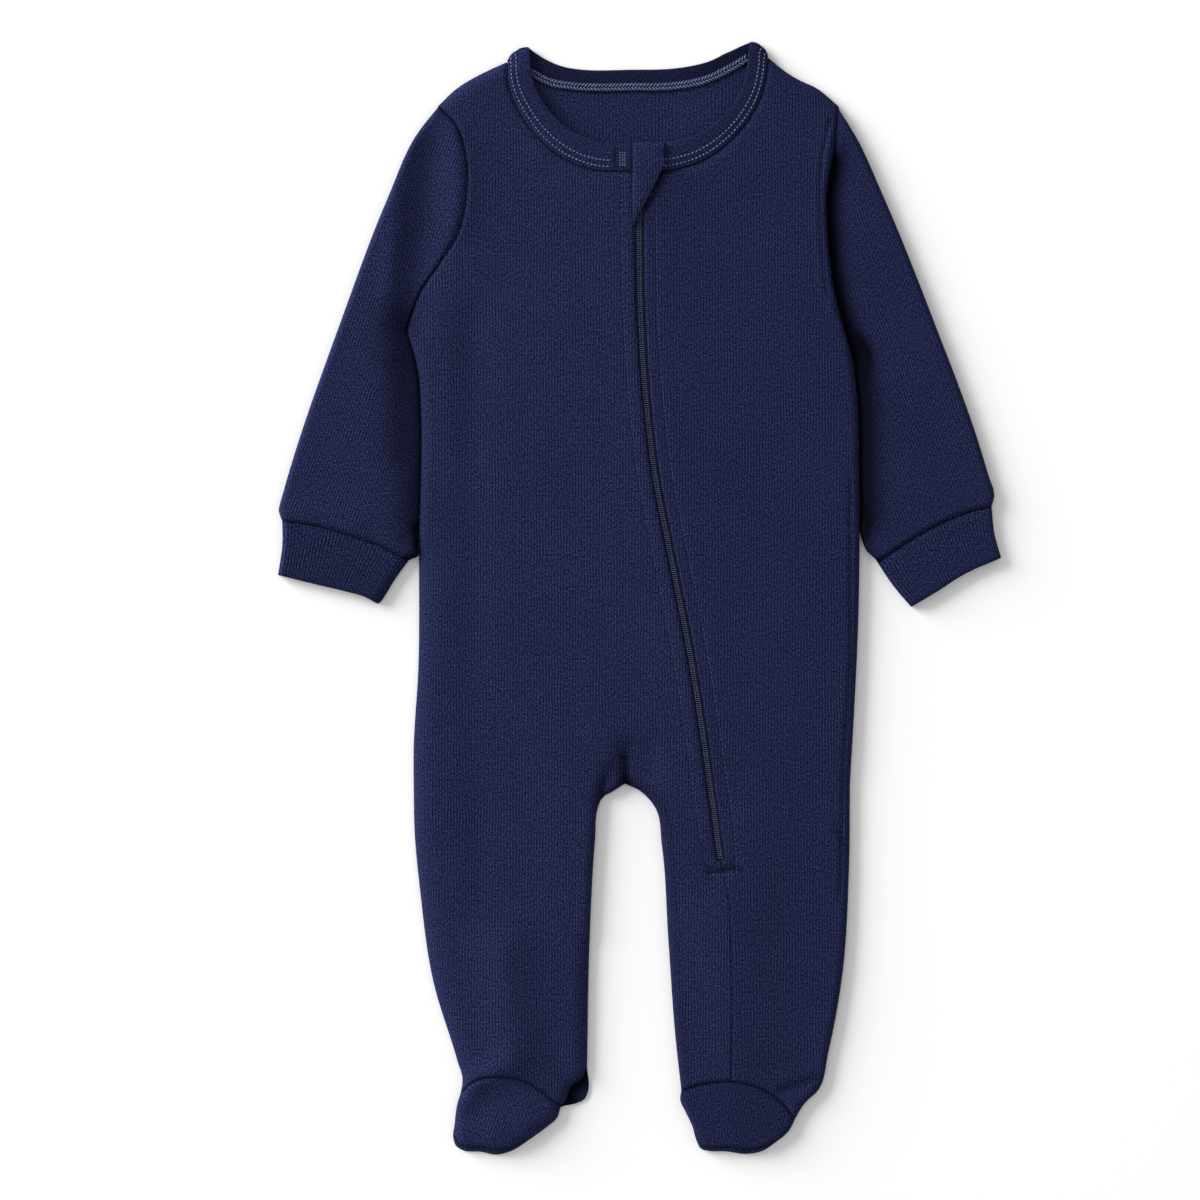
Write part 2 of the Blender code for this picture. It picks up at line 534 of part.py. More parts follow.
def toe_arc(foot, count):
    """Outline of the toes between the lip's ends, and the seam inside it."""
    total = length(foot["toe"])
    share = np.linspace(0, 1, count)
    start, end = foot["lip"]
    rim = curve(foot["toe"], total * (start + (end - start) * share))
    width = 0.5 + (SOLE_LIP - 0.5) * np.sin(np.pi * share) ** 0.6
    return rim, rim + (aside(rim, 1.0) - rim) * width[:, None]


def foot_sides(foot, rows):
    """The two sides of a foot in plan, from the seam with the leg to the ends of the lip."""
    total = length(foot["toe"])
    start, end = foot["lip"]
    near = curve(foot["toe"], np.linspace(0, total * start, rows + 1))
    far = curve(foot["toe"], np.linspace(total, total * end, rows + 1))
    return near, far


def toe_cap(side, edges, surface):
    """The front of a foot, from its arched seam to the sole's turned-up edge."""
    foot = FEET[side]
    rows, columns = 6, 12
    near, far = foot_sides(foot, rows)
    rolled = np.ones(rows + 1)
    grid = spread(near, far, columns, rolled, rolled)
    grid = bend(grid, aside(curve(foot["seam"], count=columns + 1), -CURVE_GAP), 24.0, 0)
    rim, seam = toe_arc(foot, columns + 1)
    grid = bend(grid, aside(seam, SEAM), 16.0, -1)
    return cloth("toe_cap_" + side, [faces(grid, edges)], surface)


def sole(side, edges, surface):
    """The flat sole, whose edge turns up round the toes in front of the toe cap."""
    foot = FEET[side]
    rows, columns = 5, 12
    near, far = foot_sides(foot, rows)
    if foot["heel"]:
        far = curve(join(curve(foot["heel"], count=6), far), count=rows + 1)
    even = np.zeros(rows + 1)
    grid = spread(near, far, columns, even, even)
    grid[:, :, 1] -= SEAM * np.linspace(1, 0, rows + 1)[:, None]
    rim, seam = toe_arc(foot, columns + 1)
    grid = bend(grid, rim, 18.0, -1)
    halfway = (rim + seam) / 2
    rings = []
    for j in range(columns + 1):
        lip = [(*spot[j], height(spot[j:j + 1], edges)[0]) for spot in (rim, halfway, seam)]
        under = [(x, y, 0.0) for x, y in grid[:, j]] + lip[:2]
        above = [(x, y, WALL) for x, y in grid[:-1, j]]
        above += [(*seam[j], WALL), (*seam[j], (WALL + lip[2][2]) / 2), lip[2]]
        rings.append(under + above[::-1])
    return bar("sole_" + side, np.array(rings), surface)


def fold_stations(seam, edge, inward):
    """The neckband turning over at a shoulder: seam points, edge points and heights."""
    radius = (BAND_LOW - BAND_HALF) / 2
    turn = np.radians([-90, -45, 0, 45, 90])
    away = BAND_HALF + radius * (1 - np.cos(turn))
    rise = BAND_HALF + radius * (1 - np.sin(turn))
    shift = away[:, None] * np.array(inward)
    seam, edge = np.array(seam), np.array(edge)
    seam = seam + (edge - seam) * BAND_FOLD_CLEAR / np.linalg.norm(edge - seam)
    return seam + shift, edge + shift, rise


def neckband(edges, surface):
    """The folded rib band: up the right front, over, along the back, over and down the left."""
    front = np.linspace(0, 0.93, 18)
    rear = np.linspace(0.07, 0.93, 18)
    pairs = [(NECK_R[::-1], BAND_R[::-1], front, -CURVE_GAP),
             (NECK_BACK, BAND_BACK, rear, CURVE_GAP),
             (NECK_L[::-1], BAND_L[::-1], 1 - front[::-1], -CURVE_GAP)]
    seams, tips = zip(*[(aside(curve(a, share * length(a)), gap), curve(b, share * length(b)))
                        for a, b, share, gap in pairs])
    rises = [np.maximum(height(seams[k], edges) - BAND_HALF, BAND_LOW) for k in (0, 2)]
    over = fold_stations(NECK_R[0], BAND_R[0], (0.58, -0.81))
    back_over = fold_stations(NECK_L[-1], BAND_L[-1], (-0.70, -0.71))
    seam = np.r_[seams[0], over[0], seams[1], back_over[0][::-1], seams[2]]
    tip = np.r_[tips[0], over[1], tips[1], back_over[1][::-1], tips[2]]
    level = np.r_[rises[0], over[2], np.full(len(rear), BAND_HALF), back_over[2][::-1], rises[1]]
    root, edge = np.c_[seam, level], np.c_[tip, level]
    across = edge - root
    across /= np.linalg.norm(across, axis=1, keepdims=True)
    along = np.gradient((root + edge) / 2, axis=0)
    out = np.cross(across, along)
    out *= BAND_HALF / np.linalg.norm(out, axis=1, keepdims=True)
    tucked = edge - across * BAND_HALF
    rings = [root - out, tucked - out, edge - 0.4 * out, edge + 0.4 * out, tucked + out, root + out]
    return bar("neckband", np.stack(rings, axis=1), surface)


def neck_tape(surface):
    """The tape that covers the back neck seam inside."""
    rings = strip(curve(NECK_TAPE, count=24), NECK_TAPE_HALF, *NECK_TAPE_Z)
    return bar("neck_tape", rings, surface)


def zip_strip(name, half, low, high, short, surface):
    """A flat strip along the zip, ending short of the zip's end."""
    path = curve(ZIP, np.linspace(0, length(ZIP) - short, 30))
    return bar(name, strip(path, half, low, high), surface)


def zip_guard(surface):
    """The guard that folds out of the neck over the slider and tapers down beside the zip."""
    y, left, right, low = np.array(GUARD).T
    run = np.stack([np.gradient(y), np.gradient(low)], axis=1)
    run /= np.linalg.norm(run, axis=1, keepdims=True)
    share = np.linspace(0, 1, 9)
    sag = np.interp(share, *np.array(GUARD_SAG).T)
    x = left[:, None] + (right - left)[:, None] * share
    under = np.stack([x, np.repeat(y[:, None], 9, 1), low[:, None] + sag], axis=-1)
    over = under + WALL * np.stack([0 * run[:, 0], run[:, 1], -run[:, 0]], axis=-1)[:, None]
    return bar("zip_guard", np.concatenate([under, over[:, ::-1]], axis=1), surface)


KNIT = ((0.018, 0.021, 0.061), 0.9)
RIB_KNIT = ((0.016, 0.019, 0.056), 0.9)
THREAD = ((0.10, 0.12, 0.22), 0.8)
ZIP_CLOTH = ((0.010, 0.012, 0.035), 0.85)
COIL = ((0.012, 0.014, 0.040), 0.45)


def build():
    """Every piece of the onesie."""
    edges = body_edges()
    back(material("back_knit", *KNIT))
    front_right(edges, material("front_right_knit", *KNIT))
    front_left(edges, material("front_left_knit", *KNIT))
    for side in ("right", "left"):
        sleeve(side, material(f"sleeve_{side}_knit", *KNIT))
        cuff(side, material(f"cuff_{side}_rib", *RIB_KNIT))
        toe_cap(side, edges, material(f"toe_cap_{side}_knit", *KNIT))
        sole(side, edges, material(f"sole_{side}_knit", *KNIT))
    neckband(edges, material("neckband_rib", *RIB_KNIT))
    neck_tape(material("neck_tape_chain_stitch", *THREAD))
    zip_strip("zip_tape", TAPE_HALF, *TAPE_Z, 0.0, material("zip_tape_cloth", *ZIP_CLOTH))
    zip_strip("zip_coil", COIL_HALF, *COIL_Z, COIL_SHORT, material("zip_coil_nylon", *COIL))
    plate("zip_slider", SLIDER, *SLIDER_Z, material("zip_slider_enamel", *COIL))
    zip_guard(material("zip_guard_knit", *KNIT))


for leftover in list(bpy.data.objects):
    bpy.data.objects.remove(leftover)
build()
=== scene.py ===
"""Footed baby onesie pajama in navy rib knit, laid out flat on its back.

X runs to the wearer's left, Y to the neck and Z up from the floor. Tables are in millimetres and
list x, y unless a comment names other columns. "Right" and "left" are the wearer's, so right
pieces are at -X. Outlines run with the cloth on their left.
"""
import math

import bpy
import numpy as np
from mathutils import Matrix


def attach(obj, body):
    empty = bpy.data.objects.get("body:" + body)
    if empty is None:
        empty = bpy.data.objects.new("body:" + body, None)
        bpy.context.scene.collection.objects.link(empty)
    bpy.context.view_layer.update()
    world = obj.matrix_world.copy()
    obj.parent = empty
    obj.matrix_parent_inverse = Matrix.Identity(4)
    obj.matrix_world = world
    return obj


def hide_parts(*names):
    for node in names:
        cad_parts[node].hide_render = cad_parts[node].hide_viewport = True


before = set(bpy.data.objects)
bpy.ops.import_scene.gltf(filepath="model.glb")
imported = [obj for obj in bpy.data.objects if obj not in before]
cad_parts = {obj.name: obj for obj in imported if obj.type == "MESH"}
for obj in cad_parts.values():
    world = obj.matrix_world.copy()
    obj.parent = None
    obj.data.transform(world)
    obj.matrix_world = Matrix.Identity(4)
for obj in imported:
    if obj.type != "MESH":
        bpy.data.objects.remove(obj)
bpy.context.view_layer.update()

# --- Back panel -------------------------------------------------------------------------------
# One panel of cotton rib knit makes the back bodice and the backs of both legs. It lies flat on
# the floor, and its inside shows through the neck.

MM = 0.001
SHOULDER_R = [(-71.5, 289.5), (-80.5, 285.5), (-99.5, 274.5), (-109, 265.5)]
SHOULDER_L = [(107.5, 265.5), (95, 275.6), (86, 279.8), (79.6, 283.6), (73.6, 288.3),
              (69.3, 291.8)]
ARMHOLE_R = [(-109, 265.5), (-99, 255.5), (-94, 240), (-93, 219.5), (-97, 198.5), (-107, 181.5),
             (-119, 163.5), (-125.5, 144.5)]
ARMHOLE_L = [(107.5, 265.5), (104.5, 241.5), (101, 220.5), (101.5, 192.5), (105, 165.5),
             (111, 142.5), (114.5, 131)]
SIDE_R = [(-125.5, 144.5), (-119.5, 122.5), (-118, 100), (-119, 31.5), (-119.5, -38.5),
          (-122, -82), (-122, -100)]
SIDE_L = [(114.5, 131), (117, 113.5), (118.5, 64), (118, -11.5), (115.5, -65.5), (113.5, -100)]
LEG_R = [(-122, -100), (-121.5, -125), (-118.5, -157.5), (-111.5, -206), (-98.5, -249),
         (-95.5, -260), (-96.5, -266.5)]
LEG_L = [(113.5, -100), (113, -145), (109, -206), (102, -244), (96.5, -265), (88.5, -273),
         (84, -280.5)]
GAP_R = [(-8, -100), (-15, -104.4), (-20.2, -107.4), (-22.4, -112.5), (-24, -129.5), (-27, -184.5),
         (-28.4, -253)]
GAP_L = [(-8, -100), (-1, -103), (8.5, -113), (12, -133.5), (15.5, -184.5), (19.5, -238.5),
         (22.5, -265.5)]
NECK_BACK = [(-71.5, 289.5), (-50, 279), (-36.5, 276), (-3.5, 275.5), (18.5, 276), (34.5, 279.5),
             (49.5, 286), (69.3, 291.8)]
CROTCH = GAP_R[0]
CLOTH = 1.25  # thickness of the rib knit
BACK_TOP = 1.3  # height of the back panel's inside
CLUSTER = 0.85  # how strongly the points of a row crowd towards an edge that rolls over


def runs(path):
    """Distance of each point of a path from its start."""
    return np.r_[0, np.cumsum(np.linalg.norm(np.diff(path, axis=0), axis=1))]


def read(path, run, at):
    """A path, of any number of columns, read at some distances of its run."""
    return np.stack([np.interp(at, run, column) for column in path.T], axis=1)


def unit(vectors):
    """Vectors scaled to a length of 1."""
    return vectors / np.linalg.norm(vectors, axis=-1, keepdims=True)


def curve(points, count=2, shares=None, distances=None):
    """Smooth curve through a table: cubic between two points, its slope at each point that of
    the stretches beside it, read evenly, at shares of its length or at given distances."""
    points = np.array(points, float)
    chord = runs(points)
    slope = np.gradient(points, chord, axis=0)
    fine = np.linspace(0, chord[-1], 60 * len(points))
    k = np.clip(np.searchsorted(chord, fine, side="right") - 1, 0, len(points) - 2)
    step = (chord[k + 1] - chord[k])[:, None]
    t = (fine - chord[k])[:, None] / step
    path = ((2 * t**3 - 3 * t**2 + 1) * points[k] + (t**3 - 2 * t**2 + t) * step * slope[k]
            + (3 * t**2 - 2 * t**3) * points[k + 1] + (t**3 - t**2) * step * slope[k + 1])
    run = runs(path)
    if distances is None:
        distances = run[-1] * (np.linspace(0, 1, count) if shares is None else shares)
    return read(path, run, distances)


def length(points):
    """Length of the smooth curve through a table."""
    return runs(curve(points, 400))[-1]


def join(*curves):
    """Curves end to end, with the shared points once."""
    return np.concatenate([curves[0]] + [following[1:] for following in curves[1:]])


def aside(path, gap):
    """The path moved sideways to its left by a gap, or a column of gaps."""
    run = unit(np.gradient(path, axis=0))
    return path + gap * np.stack([-run[:, 1], run[:, 0]], axis=1)


def cuts(count, start, end):
    """Shares from 0 to 1 that cut a length: even, or crowding as a cosine at an end (1) that
    rolls over. start and end may be arrays, one value for each row."""
    start, end = (np.asarray(each, float)[..., None] for each in (start, end))
    t = np.linspace(0, 1, count + 1)
    crowded = ((1 - start) * (1 - end) * t + start * (1 - end) * (1 - np.cos(np.pi * t / 2))
               + (1 - start) * end * np.sin(np.pi * t / 2)
               + start * end * (0.5 - 0.5 * np.cos(np.pi * t)))
    return t + CLUSTER * (crowded - t)


def rows_of(points, count, start=0, end=0):
    """A curve cut into rows."""
    return curve(points, shares=cuts(count, start, end))


def between(left, right, columns, start=0, end=0):
    """Grid of points on straight rows between two curves, crowding at the sides that roll."""
    share = np.broadcast_to(cuts(columns, start, end), (len(left), columns + 1))[..., None]
    return left[:, None] * (1 - share) + right[:, None] * share


def bend(grid, path, reach, row):
    """The grid with its first or last row laid on a path, and the rows within a reach of it
    drawn along, the pull falling off as a smooth step."""
    run, share = runs(path), runs(grid[row]) / runs(grid[row])[-1]
    away = np.abs(runs(grid[:, 0]) - runs(grid[:, 0])[row])
    t = np.clip(1 - away / reach, 0, 1)
    pull = read(path, run, share * run[-1]) - grid[row]
    return grid + (t * t * (3 - 2 * t))[:, None, None] * pull


def stacked(*columns):
    """Columns of numbers as the last axis of one array."""
    return np.stack(np.broadcast_arrays(*columns), axis=-1)


def flat(grid, z):
    """Plan points at one height, or a height for each."""
    return stacked(grid[..., 0], grid[..., 1], z)


def weld(grids, weaves, way=1):
    """Points, faces and weave of grids that share the points along their edges. Where a grid
    runs down and to the right, its faces look up for way 1 and down for way -1."""
    points = np.concatenate([grid.reshape(-1, 3) for grid in grids])
    weave = np.concatenate([each.reshape(-1, each.shape[-1]) for each in weaves])
    _, first, number = np.unique(np.round(points, 3), axis=0, return_index=True,
                                 return_inverse=True)
    number, faces, at = number.reshape(-1), [], 0
    for grid in grids:
        rows, columns = grid.shape[:2]
        corner = number[at:at + rows * columns].reshape(rows, columns)
        at += rows * columns
        faces.append(np.stack([corner[:-1, :-1], corner[1:, :-1], corner[1:, 1:],
                               corner[:-1, 1:]], axis=-1).reshape(-1, 4))
    return points[first], np.concatenate(faces)[:, ::way], weave[first]


def placed(name, data):
    """A new object of some data in the scene."""
    made = bpy.data.objects.new(name, data)
    bpy.context.scene.collection.objects.link(made)
    return made


def piece(name, shape, look, node="", wall=0.0):
    """A mesh in millimetres with a wall grown inwards. Its weave is a UV map in metres, and the
    weave's third column, if any, is painted shade: how deep in creases each point lies, 0 to 1."""
    points, faces, weave = shape
    mesh = bpy.data.meshes.new(name)
    mesh.from_pydata((points * MM).tolist(), [], faces.tolist())
    if weave is not None:
        corners = mesh.uv_layers.new(name="weave").data
        corners.foreach_set("uv", (weave[faces][..., :2] * MM).ravel())
        if weave.shape[1] == 3:
            crease_shade = mesh.attributes.new("crease_shade", "FLOAT", "POINT")
            crease_shade.data.foreach_set("value", weave[:, 2].copy())
    mesh.materials.append(look)
    mesh.shade_smooth()
    made = placed(name, mesh)
    if wall:
        solidify = made.modifiers.new("wall", "SOLIDIFY")
        solidify.thickness = wall * MM
    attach(made, "root")
    if node:
        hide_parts(node)
    return made


class Flow:
    """A shader socket in a Python expression: + - * add Math nodes, make() any other node."""

    def __init__(self, tree, socket):
        self.tree, self.socket = tree, socket

    def make(self, kind, settings=None, output=0, **values):
        """A new node with its settings, then the values or links of its numbered sockets."""
        node = self.tree.nodes.new(kind)
        for name, value in (settings or {}).items():
            setattr(node, name, value)
        for name, value in values.items():
            socket = node.inputs[int(name[1:])]
            if isinstance(value, Flow):
                self.tree.links.new(value.socket, socket)
            else:
                socket.default_value = value
        return Flow(self.tree, node.outputs[output])

    def math(self, operation, *others):
        """A Math node of this socket and others."""
        values = {f"i{k}": value for k, value in enumerate((self, *others))}
        return self.make("ShaderNodeMath", {"operation": operation}, **values)

    def __add__(self, other):
        return self.math("ADD", other)

    def __sub__(self, other):
        return self.math("SUBTRACT", other)

    def __mul__(self, other):
        return self.math("MULTIPLY", other)

    def split(self):
        """Its first two coordinates."""
        return [self.make("ShaderNodeSeparateXYZ", output=axis, i0=self) for axis in (0, 1)]

    def wave(self):
        """Cosine from 0 to 1 with a period of 1."""
        return (self * (2 * math.pi)).math("COSINE") * 0.5 + 0.5

    def noise(self, scale, detail=2.0, rough=0.5):
        """Noise from 0 to 1 at this place."""
        return self.make("ShaderNodeTexNoise", i0=self, i2=scale, i3=detail, i4=rough)

    def between(self, low, high):
        """0 under low, 1 over high, smooth between."""
        return self.make("ShaderNodeMapRange", {"interpolation_type": "SMOOTHSTEP"}, i0=self,
                         i1=low, i2=high)

    def mix(self, dark, light):
        """Colour between two colours at this share."""
        return self.make("ShaderNodeMix", {"data_type": "RGBA"}, output=2, i0=self, i6=dark,
                         i7=light)

    def tones(self, colour, dark, light):
        """Colour between a dark and a light tone of a colour: the colour times each number."""
        return self.mix(*((*(tone * share for share in colour), 1) for tone in (dark, light)))


def surface(name, roughness, sheen=0.0, tint=(1, 1, 1)):
    """A Principled surface with its uniform values, its shader and a flow to start from."""
    look = bpy.data.materials.new(name)
    look.use_nodes = True
    shader = look.node_tree.nodes["Principled BSDF"]
    for socket, value in (("Roughness", roughness), ("Sheen Weight", sheen),
                          ("Sheen Roughness", 0.45), ("Sheen Tint", (*tint, 1)),
                          ("Specular IOR Level", 0.05)):
        shader.inputs[socket].default_value = value
    return look, shader, Flow(look.node_tree, None)


def finish_surface(look, shader, colour, relief, depth):
    """Link a colour and a relief, in shares of a depth in metres, to the shader."""
    tree = look.node_tree
    bump = tree.nodes.new("ShaderNodeBump")
    bump.inputs["Distance"].default_value = depth
    tree.links.new(relief.socket, bump.inputs["Height"])
    tree.links.new(bump.outputs["Normal"], shader.inputs["Normal"])
    tree.links.new(colour.socket, shader.inputs["Base Color"])
    return look


NAVY_DARK = (0.0015, 0.0024, 0.02, 1)
NAVY_LIGHT = (0.0345, 0.0415, 0.113, 1)
# Darker copies of the knit's light tone for pieces that lie in less light: painted shade
NAVY_SHADED = (0.0305, 0.0365, 0.1005, 1)
NAVY_DARKER_SHADED = (0.0265, 0.032, 0.09, 1)
# Near-black navy that the knit is mixed towards in creases and beside shaded edges: painted shade
PAINTED_SHADE_NAVY = (0.0007, 0.001, 0.0042, 1)
FUZZ_TINT = (0.35, 0.42, 0.85)
RIB_PITCH = 0.0016  # distance between two ribs outside, and between two rows of stitches, m
INSIDE_PITCH = 0.0019  # the same between two ribs inside and on the cuffs
KNIT_RELIEF = 0.00022


def knit(name, pitch=RIB_PITCH, rib_share=0.55, light=NAVY_LIGHT):
    """Rib knit on the weave's U and V: ribs a pitch apart as a cosine of U that strays a
    little, crossed by rows of stitches along V, under a fine grain of fibres. The colour is
    darkened towards a near-black navy where the point's attribute says it lies deep in creases:
    painted shade."""
    look, shader, flow = surface(name, 0.92, sheen=0.02, tint=FUZZ_TINT)
    weave = flow.make("ShaderNodeUVMap", {"uv_map": "weave"})
    u, v = weave.split()
    stray = weave.noise(90.0) - 0.5
    rib = (u * (1 / pitch) + stray * 0.9).wave()
    stitch = (v * (1 / RIB_PITCH) + u * (1 / (2 * pitch)) + stray * 2.0).wave()
    grain = flow.make("ShaderNodeVectorMath", {"operation": "MULTIPLY"}, i0=weave,
                      i1=(1.0, 0.7, 1.0)).noise(1250.0, 2.0, 0.6)
    strength = weave.noise(55.0).between(0.3, 0.75)
    patches = weave.noise(22.0, 3.0)
    shade = ((rib - 0.5) * strength * rib_share + (stitch - 0.5) * 0.14 + (grain - 0.5) * 2.4
             + (patches - 0.5) * 0.1 + 0.4)
    # Painted shade: the colour falls towards a near-black navy as the point's shade attribute
    # rises
    crease_shade = flow.make("ShaderNodeAttribute", {"attribute_name": "crease_shade"}, output=2)
    colour = crease_shade.mix(shade.between(-0.1, 1.15).mix(NAVY_DARK, light), PAINTED_SHADE_NAVY)
    relief = rib * rib_share + stitch * 0.25 + grain * 0.9
    return finish_surface(look, shader, colour, relief, KNIT_RELIEF)


neck_back = curve(NECK_BACK, 121)
centre_back = rows_of([neck_back[60], CROTCH], 60)
right_back = rows_of(join(curve(ARMHOLE_R, 60), curve(SIDE_R, 60)), 60)
left_back = rows_of(join(curve(ARMHOLE_L, 60), curve(SIDE_L, 60)), 60)
back_grids = [flat(grid, BACK_TOP) for grid in (
    bend(between(right_back, centre_back, 30),
         join(curve(SHOULDER_R, 30)[::-1], neck_back[:61]), 100, 0),
    bend(between(centre_back, left_back, 30),
         join(neck_back[60:], curve(SHOULDER_L, 30)[::-1]), 100, 0),
    between(rows_of(LEG_R, 40), rows_of(GAP_R, 40), 30),
    between(rows_of(GAP_L, 40), rows_of(LEG_L, 40), 30))]
back = piece("back_panel", weld(back_grids, [grid[..., :2] for grid in back_grids]),
             knit("back_rib_knit", pitch=INSIDE_PITCH, rib_share=0.42), node="back",
             wall=BACK_TOP)

# --- Fronts -----------------------------------------------------------------------------------
# Two cut panels of the same knit, sewn to the back at the shoulders and sides and to each other
# down the left leg; between them the zip slants from the neck to the left shin. They lie on the
# back and roll down to it at the sides, with soft dips where seams and stitching pull.

NECK_R = [(-71.5, 289.5), (-69.5, 275), (-60, 256), (-42, 238.5), (-24.5, 231.5), (-3.4, 231)]
NECK_L = [(2.4, 231), (16.5, 231.5), (33.5, 236.5), (51.5, 250), (64, 268.5), (69.3, 291.8)]
ZIP = [(-0.5, 244), (0, 202), (0.7, 155), (3.5, 110), (9, 64), (16.5, 26), (28, -33), (40.5, -116),
       (44, -140.5), (46.2, -152.5)]
LEG_SEAM = [(46.2, -152.5), (48.2, -162), (49.5, -184.5), (50, -222), (49.5, -260.5)]
TOE_SEAM_R = [(-96.5, -266.5), (-89.5, -260.5), (-75, -258), (-61.5, -260.5), (-51, -267),
              (-42.5, -274)]
HEEL_R = [(-42.5, -274), (-39.5, -270.5), (-38, -265.5), (-36, -262.2), (-31.5, -259.3),
          (-28.4, -253)]
TOE_SEAM_INNER_L = [(22.5, -265.5), (35.5, -261.5), (49.5, -260.5)]
TOE_SEAM_OUTER_L = [(49.5, -260.5), (63.5, -263.5), (76, -271), (84, -280.5)]
TOE_R = [(-96.5, -266.5), (-98.5, -273), (-99.9, -284), (-100.7, -291), (-99.2, -295.5),
         (-95.5, -297.9), (-86, -298.7), (-77, -300.3), (-70.5, -298.8), (-58, -291),
         (-50.5, -285.5), (-44.5, -280), (-42.5, -274)]
TOE_L = [(22.5, -265.5), (21.9, -270.5), (24.5, -276.5), (28.5, -285), (30.8, -293), (33, -297),
         (37, -298.2), (46, -298.5), (58, -299.9), (65.5, -298.6), (74, -293.2), (81, -286.6),
         (84, -280.5)]
SLEEVE_R = [(-109.5, 265.2), (-119.5, 252), (-136.5, 215), (-161, 150.5), (-190.5, 64),
            (-193.4, 53.7), (-195, 48), (-193.5, 43)]
SLEEVE_L = [(108, 265.2), (115.5, 252), (132.5, 215), (158.5, 150.5), (182.5, 85.5), (188.9, 64.6),
            (191.6, 55.8), (190.5, 50.8)]
LOFT = 6.2  # height of the top cloth over the floor, away from folds and edges
FOOT = 1.35  # height where it meets the back panel
ZIP_HALF = 2.5  # half width of the slot between the two front edges
SLOT_END = -142.6  # where the slot is sewn shut, and the height over which it closes
SLOT_CLOSE = 2.0
SEAM = 0.05  # gap between sewn pieces
BLOCK = 4000  # points that are worked out at a time

# Soft folds and fine creases of the top cloth: points along it, half width, rise; narrow troughs
# are also painted in shade
FOLDS = [
    ([(-114, 240), (-116, 230), (-118.5, 199), (-122, 172), (-125, 150)], 10, -2.9),
    ([(-127, 126), (-127, 76)], 9, -2),
    ([(-98.5, 250), (-95, 225), (-97, 203)], 8, 1.2),
    ([(-131, 215), (-134.5, 165)], 6, 0.9),
    ([(-185, 47), (-155, 39)], 6, 0.8),
    ([(-92, 150), (-92, 80)], 9, -0.5),
    ([(-90, 150), (-91, 0), (-88, -160)], 9, -0.6),
    ([(13.4, 236), (9.2, 223.5), (2.4, 211)], 1.3, -1.6),
    ([(102, 250), (97.5, 215), (99, 185), (104, 155)], 3, 0.7),
    ([(102.4, 258), (98.3, 238.6), (96.8, 220.6), (97, 199), (99, 177), (101.3, 163)], 0.9, -0.9),
    ([(-7, -81), (-6.5, -99)], 5.5, -1.9),
    ([(-8, -86), (-7.2, -99)], 2.4, -1.2),
    ([(3.5, -82), (2, -98)], 7, -1.1),
    ([(-15.5, -92), (-21, -108)], 4, -1.4),
    ([(-19.5, -98), (-21.5, -111)], 1.6, -0.9),
    ([(113.5, 64), (113.8, -30), (110, -90), (108, -160)], 1.3, -0.6),
    ([(105.5, -122), (112.5, -136)], 1.6, -0.5),
    ([(-62, 110), (-64, -40)], 40, 0.4),
    ([(58, 130), (70, 20)], 34, 0.4),
    ([(-73, -190), (-68, -242)], 13, 2.1),
    ([(92, -110), (84, -245)], 26, -0.8),
    ([(47, -95), (41, -150)], 9, -0.4),
    ([(37, -147.4), (44, -146.8), (50.5, -144.9), (56, -147.3)], 1.1, -1.4),
    ([(44, -170), (48, -240)], 20, 0.6),
    ([(-92, -266), (-70, -249)], 8, 1.8),
    ([(-78, -254), (-62, -257)], 5, 0.8),
    ([(-50, -240), (-42, -258)], 7, -0.6),
    ([(76, -265), (95, -259)], 2.4, -1),
    ([(70, -251), (92, -249)], 8, -0.5),
    ([(-84, -266), (-92, -276)], 7, -0.9),
    ([(-76, -286), (-64, -284)], 9, 1),
    ([(46, -274), (52, -288)], 12, 0.4),
]


def step_to(plan, paths):
    """Step from plan points to the nearest stretch of some paths, in blocks of points."""
    starts = np.concatenate([path[:-1] for path in paths])
    reach = np.concatenate([path[1:] for path in paths]) - starts
    spots, size, found = plan.reshape(-1, 2), (reach * reach).sum(-1), []
    for block in np.array_split(spots, len(spots) // BLOCK + 1):
        offset = starts[None] - block[:, None]
        along = np.clip(-(offset * reach).sum(-1) / size, 0, 1)
        step = offset + along[..., None] * reach
        nearest = (step * step).sum(-1).argmin(axis=1)
        found.append(step[np.arange(len(block)), nearest])
    return np.concatenate(found).reshape(plan.shape)


def away_from(plan, paths):
    """Distance from plan points to the nearest of some paths."""
    return np.linalg.norm(step_to(plan, paths), axis=-1)


def bell(plan, paths, half):
    """1 on some paths, falling off beside them as a bell of a half width."""
    return np.exp(-(away_from(plan, paths) / half) ** 2)


def drift(plan):
    """Slow unevenness of soft cloth: crossed sines of unequal lengths."""
    x, y = plan[..., 0], plan[..., 1]
    return (0.16 * np.sin(x / 17.0 + 1.1 * np.sin(y / 41.0)) * np.sin(y / 57.0 + 0.6)
            + 0.05 * np.sin(x / 7.3 + y / 53.0 + 2.0) * np.sin(y / 29.0 + x / 61.0)
            + 0.08 * np.sin((x + y) / 23.0 + 0.4) * np.sin((x - y) / 43.0))


def roundness(share):
    """Quarter-round rise from 0 at a folded edge to 1, a little squarer than a circle."""
    return (1 - (1 - np.clip(share, 0, 1)) ** 2.4) ** (1 / 2.2)


def zip_edge(side, more=0.0):
    """The edge of a front along the zip and down the leg seam, on side -1 or 1, or a line
    further off by some more."""
    slot, seam = curve(ZIP, 160), curve(LEG_SEAM, 60)
    slot = slot[slot[:, 1] < NECK_L[0][1]]
    half = ZIP_HALF * np.clip((slot[:, 1:] - SLOT_END) / SLOT_CLOSE, 0, 1)
    half = np.maximum(half, SEAM / 2) + more
    return join(aside(slot, side * half), aside(seam, side * SEAM / 2))


